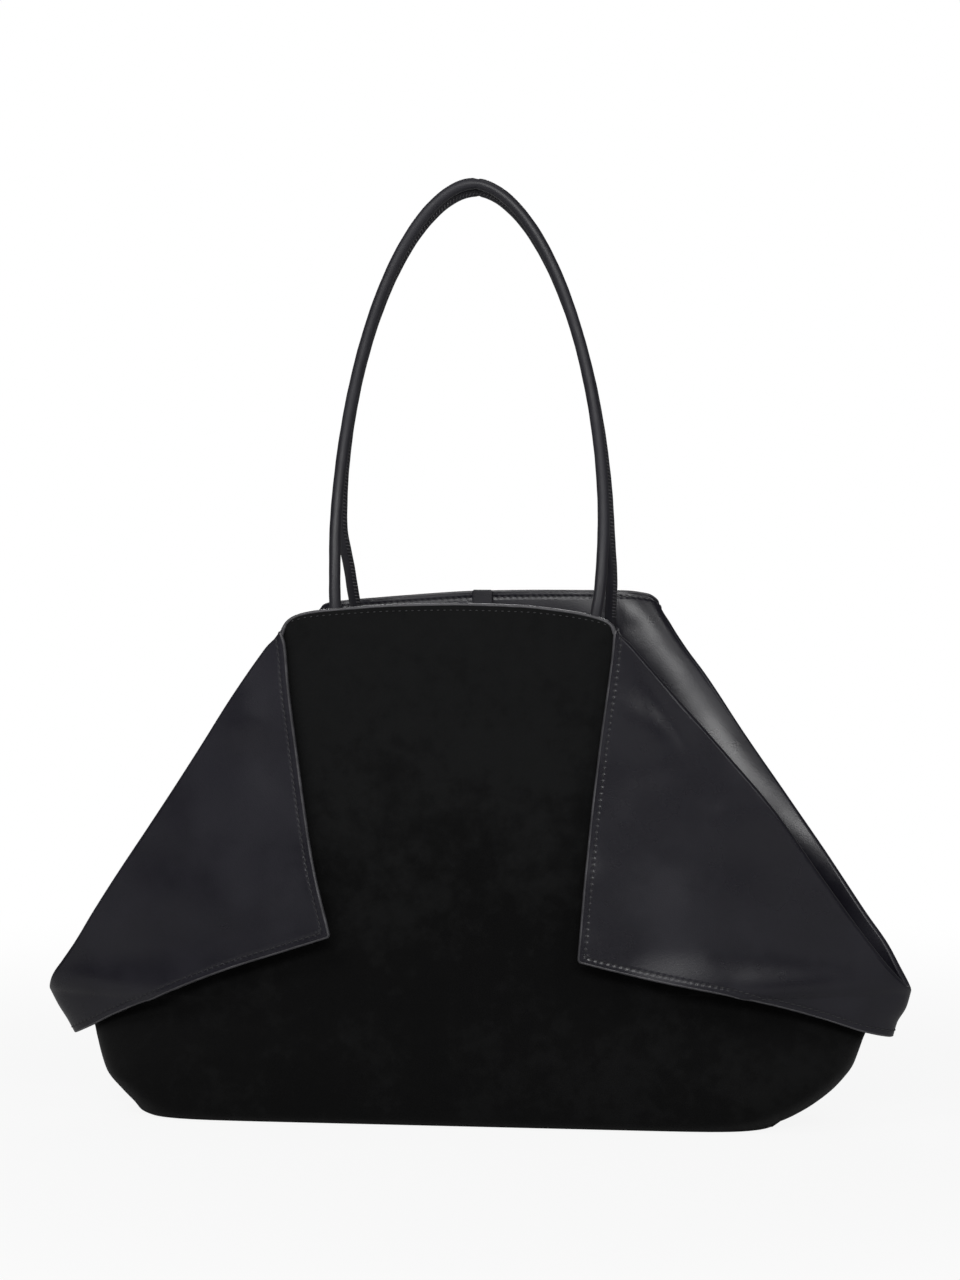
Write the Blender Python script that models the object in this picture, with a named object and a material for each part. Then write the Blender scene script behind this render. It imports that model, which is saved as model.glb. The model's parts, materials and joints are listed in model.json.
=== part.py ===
"""A wide open handbag: suede outside, smooth leather inside, corners turned out as wings.

Front and back panels stand on a stiffened base. Each panel's upper corners are turned outwards
and down, so the smooth lining shows as four wings, and the wings of front and back join round
each side as a cuff. Two rolled handles rise from the linings and lean on each other.

Metres, +Z up, -Y front, +X the viewer's right. The origin is under the middle of the base.
"""

import math

import bmesh
import bpy
from mathutils import Vector

# Base
BASE_LENGTH = 0.376
BASE_DEPTH = 0.114
BASE_ROLL = 0.009
BASE_PANEL = 0.0012
BOARD = 0.0020

# Side outline, from the base up to the shoulders
NECK_HEIGHT = 0.050
NECK_LENGTH = 0.463
TIP_HEIGHT = 0.080
TIP_LENGTH = 0.525
SHOULDER_HEIGHT = 0.297
SHOULDER_LENGTH = 0.209
SHOULDER_DEPTH = 0.116

# Mouth
MOUTH_HEIGHT = 0.311
MOUTH_DEPTH = 0.117
MOUTH_FADE = 0.070
BELLY_SWELL = 0.0035

# Section: a rounded box low down turns into a lens between these two heights
BOX_HEIGHT = 0.010
LENS_HEIGHT = 0.068
FOLD_FADE = 0.030

# Plies
SUEDE = 0.0012
LEATHER = 0.0012
PLY_GAP = 0.0003
SEAT_GAP = 0.0003
BINDING = 0.0015

# Wings and side cuffs
WING_TOP_HEIGHT = 0.288
WING_TOP_LENGTH = 0.194
WING_CORNER_HEIGHT = 0.103
WING_CORNER_LENGTH = 0.152
CUFF_FOOT_HEIGHT = 0.048
CUFF_FOOT_DRAW = 0.029
CUFF_TIP_REACH = 0.0024
FOLD_GAP = 0.0005
WING_TOP_STAND = 0.0010
WING_CORNER_STAND = 0.0120
WING_HINGE_STAND = 0.0200
HINGE_TOP_WIDTH = 0.011
HINGE_GAP = 0.0008

# Handles
HANDLE_DIAMETER = 0.0070
CORE_DIAMETER = 0.0040
HANDLE_WALL = 0.0011
HANDLE_SPAN = 0.1608
HANDLE_RISE = 0.2195
HANDLE_SPRING_HEIGHT = 0.340
BACK_HANDLE_DROP = 0.0045
FLEX_HEIGHT = 0.316
FLEX_SPAN = 0.159
FLEX_DEPTH = 0.060
FLEX_GAP = 0.0008
TOP_DEPTH = 0.0084
LEAN_HEIGHT = 0.060
ANCHOR_DROP = 0.0105
ANCHOR_SPAN = 0.1530
ROOT_STUB = 0.0012
ROOT_REACH = 0.013

# Closure tabs
TAB_WIDTH = 0.0125
TAB_THICKNESS = 0.0016
TAB_STAND = 0.0018
TAB_ROOT_LENGTH = 0.010
TAB_LENGTH = 0.034
MAGNET_DIAMETER = 0.0096
MAGNET_THICKNESS = 0.0016
MAGNET_INSET = 0.0015

# Shapes of the section and of the arches
BOX_POWER_SHARE = 10.0
LENS_POWER_SHARE = 1.5
BOX_EDGE_SHARE = 0.33
LENS_EDGE_SHARE = 0.70
FOLD_EDGE_SHARE = 1.0
COLUMN_CROWD_SHARE = 1.7
MOUTH_POWER_SHARE = 5.0
ARCH_POWER_SHARE = 1.82
HINGE_FOOT_SHARE = 0.6628

# Steps along each surface
HALF_COLUMN_COUNT = 9
ROLL_ROW_COUNT = 2
WALL_ROW_COUNT = 3
NECK_ROW_COUNT = 3
FOLD_ROW_COUNT = 7
WING_ROW_COUNT = 7
WING_COLUMN_COUNT = 4
CUFF_COLUMN_COUNT = 5
CUFF_FOOT_ROW_COUNT = 3
ARCH_STEP_COUNT = 28
ROOT_STEP_COUNT = 5
COVER_SIDE_COUNT = 8
CORE_SIDE_COUNT = 6
DISC_SIDE_COUNT = 20

WALL = SUEDE + PLY_GAP + LEATHER
CUFF_FOOT_LENGTH = TIP_LENGTH - CUFF_FOOT_DRAW
HINGE_FOOT_RUN = (CUFF_FOOT_LENGTH - WING_CORNER_LENGTH) * HINGE_FOOT_SHARE
HINGE_FOOT_LENGTH = WING_CORNER_LENGTH + HINGE_FOOT_RUN
FOOT = BASE_PANEL + SEAT_GAP
UP = Vector((0.0, 0.0, 1.0))
FRONT = -1
BACK = 1


def blend(low, high, share):
    return low + (high - low) * share


def smooth(value, start, end):
    """0 before start, 1 after end, and an even rise between them."""
    share = min(max((value - start) / (end - start), 0.0), 1.0)
    return share * share * (3 - 2 * share)


def side_end(height):
    """(half length, half depth) of a panel's side edge: its seam low down, its fold above."""
    if height <= NECK_HEIGHT:
        rest = 1 - height / NECK_HEIGHT
        return blend(NECK_LENGTH, BASE_LENGTH, rest * rest) / 2, 0.0
    if height <= TIP_HEIGHT:
        share = (height - NECK_HEIGHT) / (TIP_HEIGHT - NECK_HEIGHT)
        return blend(NECK_LENGTH, TIP_LENGTH, share * share) / 2, 0.0
    drop = (SHOULDER_HEIGHT - height) / (SHOULDER_HEIGHT - TIP_HEIGHT)
    length = blend(SHOULDER_LENGTH, TIP_LENGTH, drop) / 2
    return length, SHOULDER_DEPTH / 2 * math.sqrt(max(1 - drop, 0.0))


def middle_depth(height):
    """Half depth of the body in its middle, with the rolled foot and a slight belly."""
    share = height / MOUTH_HEIGHT
    depth = blend(BASE_DEPTH, MOUTH_DEPTH, share) / 2 + BELLY_SWELL * math.sin(math.pi * share)
    if height < BASE_ROLL:
        lift = BASE_ROLL - height
        depth -= BASE_ROLL - math.sqrt(BASE_ROLL * BASE_ROLL - lift * lift)
    return depth


def body_depth(length, height):
    """Half depth of the body at a half length and a height; zero outside the body."""
    end_length, end_depth = side_end(height)
    share = min(abs(length) / end_length, 1.0)
    lens = smooth(height, BOX_HEIGHT, LENS_HEIGHT)
    power = BOX_POWER_SHARE * (LENS_POWER_SHARE / BOX_POWER_SHARE) ** lens
    edge = BOX_EDGE_SHARE * (LENS_EDGE_SHARE / BOX_EDGE_SHARE) ** lens
    edge = blend(edge, FOLD_EDGE_SHARE, smooth(height, TIP_HEIGHT, TIP_HEIGHT + FOLD_FADE))
    return end_depth + (middle_depth(height) - end_depth) * (1 - share**power) ** edge


def steps(low, high, count):
    return [blend(low, high, index / count) for index in range(1, count + 1)]


def fold_height(share):
    """Height on the fold, whose half depth grows evenly with this share from tip to shoulder."""
    return blend(TIP_HEIGHT, SHOULDER_HEIGHT, share * share)


def panel_heights():
    """Heights of a panel's rows at its side edge, from the foot to the shoulder."""
    heights = [FOOT]
    heights += steps(FOOT, BASE_ROLL, ROLL_ROW_COUNT)
    heights += steps(BASE_ROLL, NECK_HEIGHT, WALL_ROW_COUNT)
    heights += steps(NECK_HEIGHT, TIP_HEIGHT, NECK_ROW_COUNT)
    heights += [fold_height(index / FOLD_ROW_COUNT) for index in range(1, FOLD_ROW_COUNT + 1)]
    return heights


def column_shares():
    """Places across a panel from -1 to 1, closer together towards the sides."""
    places = [index / HALF_COLUMN_COUNT for index in range(HALF_COLUMN_COUNT + 1)]
    half = [1 - (1 - place) ** COLUMN_CROWD_SHARE for place in places]
    return [-share for share in reversed(half[1:])] + half


def mouth_lift(share, height):
    """How far the panel's rows arch up towards the mouth's edge in the middle."""
    rise = MOUTH_HEIGHT - BINDING - SEAT_GAP - SHOULDER_HEIGHT
    arch = 1 - abs(share) ** MOUTH_POWER_SHARE
    return rise * arch * smooth(height, SHOULDER_HEIGHT - MOUTH_FADE, SHOULDER_HEIGHT)


def panel_point(face, share, height):
    end_length, end_depth = side_end(height)
    length = share * end_length
    depth = max(body_depth(length, height), SEAT_GAP / 2)
    return Vector((length, face * depth, height + mouth_lift(share, height)))


def grid_triangles(rows, columns, flip, turn_from=None):
    """Triangles over a grid of points, cut along one diagonal, and the other from a column on."""
    found = []
    for row in range(rows - 1):
        for column in range(columns - 1):
            near = row * columns + column
            far = near + columns
            quad = (near, near + 1, far + 1, far)
            if turn_from is not None and column >= turn_from:
                quad = (near + 1, far + 1, far, near)
            if flip:
                quad = (quad[0], quad[3], quad[2], quad[1])
            found += [(quad[0], quad[1], quad[2]), (quad[0], quad[2], quad[3])]
    return found


def surface_normals(points, triangles):
    normals = [Vector() for _ in points]
    for corners in triangles:
        first, second, third = (points[index] for index in corners)
        normal = (second - first).cross(third - first)
        for index in corners:
            normals[index] += normal
    return [normal.normalized() for normal in normals]


def level(normal):
    """The way out at a level edge, such as a panel's foot and its mouth."""
    return Vector((normal.x, normal.y, 0)).normalized()


def seam(normal):
    """The way out at a seam in the plane between front and back, as long as its mitre."""
    flat = Vector((normal.x, 0, normal.z))
    return flat / flat.length_squared


def level_seam(normal):
    return Vector((normal.x, 0, 0)).normalized()


def material(name, colour, roughness, metallic=0.0):
    made = bpy.data.materials.new(name)
    made.use_nodes = True
    shader = made.node_tree.nodes["Principled BSDF"]
    shader.inputs["Base Color"].default_value = (*colour, 1.0)
    shader.inputs["Roughness"].default_value = roughness
    shader.inputs["Metallic"].default_value = metallic
    return made


def suede(name):
    return material(name, (0.0075, 0.0075, 0.0078), 0.95)


def leather(name):
    return material(name, (0.0180, 0.0175, 0.0205), 0.45)


def add_solid(name, points, faces, look, body=None, rounded=False):
    """One object from world points, placed under its body's empty if it has one."""
    origin = body.location if body else Vector()
    mesh = bpy.data.meshes.new(name)
    mesh.from_pydata([point - origin for point in points], [], faces)
    mesh.materials.append(look(name))
    if rounded:
        mesh.shade_smooth()
        mesh.set_sharp_from_angle(angle=math.radians(50))
    solid = bpy.data.objects.new(name, mesh)
    bpy.context.collection.objects.link(solid)
    solid.parent = body
    return solid


def add_body(name, place):
    """An empty on a joint's axis, which carries the pieces that move about it."""
    body = bpy.data.objects.new(name, None)
    body.location = place
    bpy.context.collection.objects.link(body)
    return body


def sheet(name, points, triangles, low, high, look, ways=None, body=None):
    """One closed sheet between two offsets from a surface, along its outward normals."""
    ways = ways or {}
    outward = surface_normals(points, triangles)
    outward = [ways[i](normal) if i in ways else normal for i, normal in enumerate(outward)]
    outer = [point + way * high for point, way in zip(points, outward)]
    inner = [point + way * low for point, way in zip(points, outward)]
    count = len(points)
    faces = list(triangles)
    faces += [(c + count, b + count, a + count) for a, b, c in triangles]
    edges = {pair for a, b, c in triangles for pair in ((a, b), (b, c), (c, a))}
    for start, end in sorted(edges):
        if (end, start) not in edges:
            faces += [(end, start, start + count), (end, start + count, end + count)]
    return add_solid(name, outer + inner, faces, look, body, rounded=True)


def add_panel(name, face, low, high, look):
    """A ply of the front or back panel between two offsets from the body's outside."""
    heights = panel_heights()
    shares = column_shares()
    points = [panel_point(face, share, height) for height in heights for share in shares]
    ways = {}
    for row, height in enumerate(heights):
        for column in range(len(shares)):
            at_seam = column in (0, len(shares) - 1) and height <= TIP_HEIGHT
            at_level = height <= BASE_ROLL or row == len(heights) - 1
            if at_seam or at_level:
                way = level_seam if at_seam and at_level else seam if at_seam else level
                ways[row * len(shares) + column] = way
    triangles = grid_triangles(len(heights), len(shares), face == BACK, turn_from=HALF_COLUMN_COUNT)
    sheet(name, points, triangles, low, high, look, ways)


def face_outwards(mesh):
    """Turns every face round if the closed mesh is inside out."""
    shape = bmesh.new()
    shape.from_mesh(mesh)
    if shape.calc_volume(signed=True) < 0:
        bmesh.ops.reverse_faces(shape, faces=shape.faces)
        shape.to_mesh(mesh)
    shape.free()


def ring_solid(name, rings, look, body=None, closed=False, rounded=True):
    """A closed solid skinned over rings of points, open-ended or joined end to end."""
    sides = len(rings[0])
    points = [point for ring in rings for point in ring]
    faces = []
    spans = len(rings) if closed else len(rings) - 1
    for ring in range(spans):
        here = ring * sides
        there = (ring + 1) % len(rings) * sides
        for side in range(sides):
            after = (side + 1) % sides
            faces.append((here + side, here + after, there + after, there + side))
    if not closed:
        faces.append(tuple(reversed(range(sides))))
        faces.append(tuple(range(len(points) - sides, len(points))))
    solid = add_solid(name, points, faces, look, body, rounded)
    face_outwards(solid.data)
    return solid


def add_binding(name, face):
    """The thin leather strip that closes the plies along a panel's mouth edge."""
    shares = column_shares()
    edge = [panel_point(face, share, SHOULDER_HEIGHT) for share in shares]
    rings = []
    for index, point in enumerate(edge):
        before = edge[max(index - 1, 0)]
        after = edge[min(index + 1, len(edge) - 1)]
        along = after - before
        way = level(along.cross(UP) * -face)
        low = UP * SEAT_GAP
        high = UP * (SEAT_GAP + BINDING)
        inward = way * -WALL
        rings.append([point + low, point + high, point + inward + high, point + inward + low])
    ring_solid(name, rings, leather, rounded=False)


def base_outline(inset):
    """The body's section at the foot, drawn in by an inset, as one closed loop."""
    shares = column_shares()
    front = [panel_point(FRONT, share, FOOT) for share in shares]
    loop = front + [Vector((point.x, -point.y, point.z)) for point in reversed(front)]
    drawn = []
    for index, point in enumerate(loop):
        along = loop[(index + 1) % len(loop)] - loop[index - 1]
        drawn.append(point - level(along.cross(UP)) * inset)
    return drawn


def add_plate(name, inset, low, thickness, look):
    loop = base_outline(inset)
    rings = [[Vector((p.x, p.y, height)) for p in loop] for height in (low, low + thickness)]
    ring_solid(name, rings, look, rounded=False)


def wing_corner_height(length):
    """Height of the wings' straight lower edge at a half length."""
    run = (2 * length - WING_CORNER_LENGTH) / (CUFF_FOOT_LENGTH - WING_CORNER_LENGTH)
    return blend(WING_CORNER_HEIGHT, CUFF_FOOT_HEIGHT, run)


def wing_free_edge(height):
    """(half length, stand-off) of a wing's free edge: its inner edge, then its lower edge."""
    if height >= WING_CORNER_HEIGHT:
        share = (WING_TOP_HEIGHT - height) / (WING_TOP_HEIGHT - WING_CORNER_HEIGHT)
        length = blend(WING_TOP_LENGTH, WING_CORNER_LENGTH, share) / 2
        return length, blend(WING_TOP_STAND, WING_CORNER_STAND, max(share, 0.0))
    run = (WING_CORNER_HEIGHT - height) / (WING_CORNER_HEIGHT - CUFF_FOOT_HEIGHT)
    length = blend(WING_CORNER_LENGTH, CUFF_FOOT_LENGTH, run) / 2
    if run < HINGE_FOOT_SHARE:
        return length, blend(WING_CORNER_STAND, WING_HINGE_STAND, run / HINGE_FOOT_SHARE)
    rest = min((run - HINGE_FOOT_SHARE) / (1 - HINGE_FOOT_SHARE), 1.0)
    return length, WING_HINGE_STAND * math.sqrt(1 - rest * rest)


def cuff_edge(height):
    """Half length of the fold's outer line, and of the cuff's side line below the tip."""
    if height >= TIP_HEIGHT:
        reach = CUFF_TIP_REACH * (1 - smooth(height, TIP_HEIGHT, TIP_HEIGHT + BASE_ROLL))
        return side_end(height)[0] + reach
    share = (height - CUFF_FOOT_HEIGHT) / (TIP_HEIGHT - CUFF_FOOT_HEIGHT)
    return blend(CUFF_FOOT_LENGTH / 2, TIP_LENGTH / 2 + CUFF_TIP_REACH, share)


def wing_depth(length, height):
    """Half depth of the wings' underside: the body's, the fold's gap and the stand-off."""
    outer = cuff_edge(height)
    free, stand = wing_free_edge(height)
    share = (outer - length) / max(outer - free, HINGE_GAP)
    share = min(max(share, 0.0), 1.0)
    gap = FOLD_GAP
    if height < TIP_HEIGHT + BASE_ROLL:
        gap = FOLD_GAP * smooth(outer - length, 0.0, BASE_ROLL)
    return body_depth(length, height) + gap + stand * share


def wing_point(side, face, length, height):
    return Vector((side * length, face * wing_depth(length, height), height))


def hinge_line(share):
    """(half length, height) on the line where a wing bends away from its cuff."""
    foot = HINGE_FOOT_LENGTH / 2
    length = blend(WING_TOP_LENGTH / 2 + HINGE_TOP_WIDTH, foot, share)
    return length, blend(WING_TOP_HEIGHT, wing_corner_height(foot), share)


def hinge_axis(side, face):
    """Two points of a wing's hinge axis, on the outermost skin along its bending line."""
    places = [hinge_line(index / WING_ROW_COUNT) for index in range(WING_ROW_COUNT + 1)]
    skin = [wing_point(side, face, *place) for place in places]
    chord = skin[-1] - skin[0]
    out = level(chord.cross(UP)) * WALL
    if out.y * face < 0:
        out = -out
    way = out.normalized()
    bulge = max((point - skin[0]).dot(way) - chord.dot(way) * index / WING_ROW_COUNT
                for index, point in enumerate(skin))
    shift = out + way * bulge
    return skin[0] + shift, skin[-1] + shift


def wing_surface(side, face):
    """Points and triangles of one wing, from its inner edge to its bending line."""
    points = []
    for row in range(WING_ROW_COUNT + 1):
        share = row / WING_ROW_COUNT
        far_length, far_height = hinge_line(share)
        far_length -= HINGE_GAP / 2
        near_length = blend(WING_TOP_LENGTH, WING_CORNER_LENGTH, share) / 2
        near_height = blend(WING_TOP_HEIGHT, WING_CORNER_HEIGHT, share)
        for column in range(WING_COLUMN_COUNT + 1):
            across = column / WING_COLUMN_COUNT
            length = blend(near_length, far_length, across)
            height = blend(near_height, far_height, across)
            points.append(wing_point(side, face, length, height))
    flip = side * face < 0
    return points, grid_triangles(WING_ROW_COUNT + 1, WING_COLUMN_COUNT + 1, flip)


def cuff_heights():
    """Heights of a cuff's rows on its outer line: down the fold to the tip, then to the foot."""
    fold = [fold_height(index / FOLD_ROW_COUNT) for index in reversed(range(FOLD_ROW_COUNT))]
    return [WING_TOP_HEIGHT] + fold + steps(TIP_HEIGHT, CUFF_FOOT_HEIGHT, CUFF_FOOT_ROW_COUNT)


def cuff_arm(side, face):
    """Rows of a cuff's points on one face, from the bending line out to the fold or side line."""
    heights = cuff_heights()
    run = WING_TOP_HEIGHT - CUFF_FOOT_HEIGHT
    found = []
    for far_height in heights:
        near_length, near_height = hinge_line((WING_TOP_HEIGHT - far_height) / run)
        near_length += HINGE_GAP / 2
        line = []
        for column in range(CUFF_COLUMN_COUNT + 1):
            across = 1 - (1 - column / CUFF_COLUMN_COUNT) ** COLUMN_CROWD_SHARE
            length = blend(near_length, cuff_edge(far_height), across)
            line.append(wing_point(side, face, length, blend(near_height, far_height, across)))
        found.append(line)
    return found


def cuff_surface(side):
    """Points and triangles of a cuff: two arms that share the side line below the tip."""
    rows = FOLD_ROW_COUNT + CUFF_FOOT_ROW_COUNT
    columns = CUFF_COLUMN_COUNT + 1
    arms = {face: cuff_arm(side, face) for face in (FRONT, BACK)}
    points = [point for face in (FRONT, BACK) for line in arms[face] for point in line]
    half = (rows + 1) * columns
    triangles = grid_triangles(rows + 1, columns, flip=side * FRONT < 0)
    other = grid_triangles(rows + 1, columns, flip=side * BACK < 0)
    shared = {}
    for row in range(FOLD_ROW_COUNT, rows + 1):
        index = row * columns + CUFF_COLUMN_COUNT
        points[index].y = 0
        shared[half + index] = index
    for corners in other:
        triangles.append(tuple(shared.get(half + index, half + index) for index in corners))
    kept = sorted({index for corners in triangles for index in corners})
    place = {old: new for new, old in enumerate(kept)}
    triangles = [tuple(place[index] for index in corners) for corners in triangles]
    return [points[index] for index in kept], triangles


def add_wings_and_cuffs():
    leather_low = SUEDE + PLY_GAP
    for side, side_name in ((-1, "left"), (1, "right")):
        points, triangles = cuff_surface(side)
        sheet(f"{side_name}_cuff_suede", points, triangles, 0.0, SUEDE, suede)
        sheet(f"{side_name}_cuff_leather", points, triangles, leather_low, WALL, leather)
        for face, face_name in ((FRONT, "front"), (BACK, "back")):
            name = f"{face_name}_{side_name}_wing"
            first, last = hinge_axis(side, face)
            body = add_body(f"{name}_hinge", (first + last) / 2)
            points, triangles = wing_surface(side, face)
            sheet(f"{name}_suede", points, triangles, 0.0, SUEDE, suede, body=body)
            sheet(f"{name}_leather", points, triangles, leather_low, WALL, leather, body=body)


def handle_depth(height):
    """Half depth of a handle's centre line, which leans in towards the other handle."""
    fall = math.exp(-(height - FLEX_HEIGHT) / LEAN_HEIGHT)
    return blend(TOP_DEPTH, FLEX_DEPTH, fall) / 2


def handle_path(face, drop):
    """Centre line of a handle's moving arch, from its left flex point to its right one."""
    rise = HANDLE_RISE - drop
    start = FLEX_HEIGHT + FLEX_GAP / 2
    right = [(FLEX_SPAN / 2, start)]
    right.append(((FLEX_SPAN + HANDLE_SPAN) / 4, (start + HANDLE_SPRING_HEIGHT) / 2))
    arch = []
    for step in range(ARCH_STEP_COUNT + 1):
        turn = math.pi * step / ARCH_STEP_COUNT
        along = abs(math.cos(turn)) ** (2 / ARCH_POWER_SHARE)
        length = math.copysign(along, math.cos(turn)) * HANDLE_SPAN / 2
        height = HANDLE_SPRING_HEIGHT + rise * math.sin(turn) ** (2 / ARCH_POWER_SHARE)
        arch.append((length, height))
    line = right + arch + [(-length, height) for length, height in reversed(right)]
    return [Vector((x, face * handle_depth(z), z)) for x, z in reversed(line)]


def panel_way_out(face, share, height):
    """The panel's outward normal, from three places of it a ply apart."""
    here = panel_point(face, share, height)
    beside = panel_point(face, share + SUEDE / side_end(height)[0], height)
    above = panel_point(face, share, height + SUEDE)
    way = (beside - here).cross(above - here).normalized()
    return way if way.y * face > 0 else -way


def root_path(side, face):
    """Centre line of a handle's fixed root, from the lining up to the flex point."""
    height = SHOULDER_HEIGHT - ANCHOR_DROP
    share = side * ANCHOR_SPAN / 2 / side_end(height)[0]
    way = panel_way_out(face, share, height)
    foot = panel_point(face, share, height) - way * (WALL + SEAT_GAP)
    start = foot - way * ROOT_STUB
    turn = start - way * ROOT_REACH
    end = Vector((side * FLEX_SPAN / 2, face * FLEX_DEPTH / 2, FLEX_HEIGHT - FLEX_GAP / 2))
    points = [foot]
    for step in range(ROOT_STEP_COUNT + 1):
        share = step / ROOT_STEP_COUNT
        points.append(start.lerp(turn, share).lerp(turn.lerp(end, share), share))
    return points


def tube_rings(path, radius, sides):
    """Rings of points round a path, turned as little as possible from one to the next."""
    rings = []
    across = None
    for index, point in enumerate(path):
        before = path[max(index - 1, 0)]
        after = path[min(index + 1, len(path) - 1)]
        along = (after - before).normalized()
        if across is None:
            across = along.cross(UP).normalized()
        across = (across - along * across.dot(along)).normalized()
        other = along.cross(across)
        turns = [2 * math.pi * side / sides for side in range(sides)]
        rings.append([point + (across * math.cos(t) + other * math.sin(t)) * radius for t in turns])
    return rings


def add_handles():
    for face, name, drop in ((FRONT, "front_handle", 0.0), (BACK, "back_handle", BACK_HANDLE_DROP)):
        path = handle_path(face, drop)
        along = (path[1] - path[0]).normalized()
        way = Vector((0, face * along.z, -face * along.y)).normalized()
        flex = Vector((0, face * FLEX_DEPTH / 2, FLEX_HEIGHT))
        body = add_body(f"{name}_flex", flex + way * (HANDLE_DIAMETER + SEAT_GAP) / 2)
        outer = tube_rings(path, HANDLE_DIAMETER / 2, COVER_SIDE_COUNT)
        inner = tube_rings(path, HANDLE_DIAMETER / 2 - HANDLE_WALL, COVER_SIDE_COUNT)
        add_sleeve(f"{name}_cover", outer, inner, leather, body)
        core = tube_rings(path, CORE_DIAMETER / 2, CORE_SIDE_COUNT)
        ring_solid(f"{name}_core", core, leather, body)
        for side, side_name in ((-1, "left"), (1, "right")):
            rings = tube_rings(root_path(side, face), HANDLE_DIAMETER / 2, COVER_SIDE_COUNT)
            ring_solid(f"{name}_{side_name}_root", rings, leather)


def add_sleeve(name, outer, inner, look, body):
    """A tube with a bore: its outside, its inside and a flat ring at each end."""
    sides = len(outer[0])
    count = len(outer) * sides
    points = [point for ring in outer + inner for point in ring]
    faces = []
    for ring in range(len(outer) - 1):
        for side in range(sides):
            here = ring * sides + side
            after = ring * sides + (side + 1) % sides
            faces.append((here, after, after + sides, here + sides))
            faces.append((here + sides + count, after + sides + count, after + count, here + count))
    last = count - sides
    for side in range(sides):
        after = (side + 1) % sides
        faces.append((after, side, side + count, after + count))
        faces.append((last + side, last + after, last + after + count, last + side + count))
    add_solid(name, points, faces, look, body, rounded=True)


def add_block(name, low, high, look, body=None):
    corners = [(low.x, low.y), (high.x, low.y), (high.x, high.y), (low.x, high.y)]
    rings = [[Vector((x, y, z)) for x, y in corners] for z in (low.z, high.z)]
    ring_solid(name, rings, look, body, rounded=False)


def steel(name):
    return material(name, (0.30, 0.30, 0.31), 0.35, 1.0)


def add_tabs():
    """A short closure tab hanging inside the middle of each mouth edge, with its magnet."""
    top = MOUTH_HEIGHT + TAB_STAND
    bend = top - TAB_ROOT_LENGTH
    outer = body_depth(0.0, SHOULDER_HEIGHT) - WALL - SEAT_GAP
    inner = outer - TAB_THICKNESS
    half = TAB_WIDTH / 2
    for face, name in ((FRONT, "front_tab"), (BACK, "back_tab")):
        near, far = sorted((face * outer, face * inner))
        body = add_body(f"{name}_hinge", Vector((0, face * (inner - SEAT_GAP / 2), bend - SEAT_GAP)))
        add_block(f"{name}_root", Vector((-half, near, bend)), Vector((half, far, top)), leather)
        strap_top = bend - 2 * SEAT_GAP
        strap_low = strap_top - TAB_LENGTH
        low = Vector((-half, near, strap_low))
        add_block(f"{name}_strap", low, Vector((half, far, strap_top)), leather, body)
        centre_height = strap_low + MAGNET_INSET + MAGNET_DIAMETER / 2
        rings = []
        for depth in (inner - SEAT_GAP, inner - SEAT_GAP - MAGNET_THICKNESS):
            ring = []
            for step in range(DISC_SIDE_COUNT):
                turn = 2 * math.pi * step / DISC_SIDE_COUNT
                length = MAGNET_DIAMETER / 2 * math.cos(turn)
                height = centre_height + MAGNET_DIAMETER / 2 * math.sin(turn)
                ring.append(Vector((length, face * depth, height)))
            rings.append(ring)
        ring_solid(f"{name}_magnet", rings, steel, body)


def add_shell():
    for face, name in ((FRONT, "front"), (BACK, "back")):
        add_panel(f"{name}_panel", face, -SUEDE, 0.0, suede)
        add_panel(f"{name}_lining", face, -WALL, -WALL + LEATHER, leather)
        add_binding(f"{name}_mouth_binding", face)
    add_plate("base_panel", 0.0, 0.0, BASE_PANEL, suede)
    board_inset = WALL + SEAT_GAP
    add_plate("base_board", board_inset, FOOT, BOARD, leather)
    add_plate("base_lining", board_inset, FOOT + BOARD + SEAT_GAP, LEATHER, leather)


def main():
    for old in list(bpy.data.objects):
        bpy.data.objects.remove(old)
    add_shell()
    add_wings_and_cuffs()
    add_handles()
    add_tabs()


main()
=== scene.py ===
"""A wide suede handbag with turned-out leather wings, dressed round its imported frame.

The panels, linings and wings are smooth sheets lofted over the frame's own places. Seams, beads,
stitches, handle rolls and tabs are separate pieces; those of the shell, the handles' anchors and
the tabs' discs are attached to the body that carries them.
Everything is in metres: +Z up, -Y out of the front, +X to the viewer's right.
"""

from __future__ import annotations

import json
import logging
import math
from collections.abc import Callable
from dataclasses import dataclass, field
from enum import Enum

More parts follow.
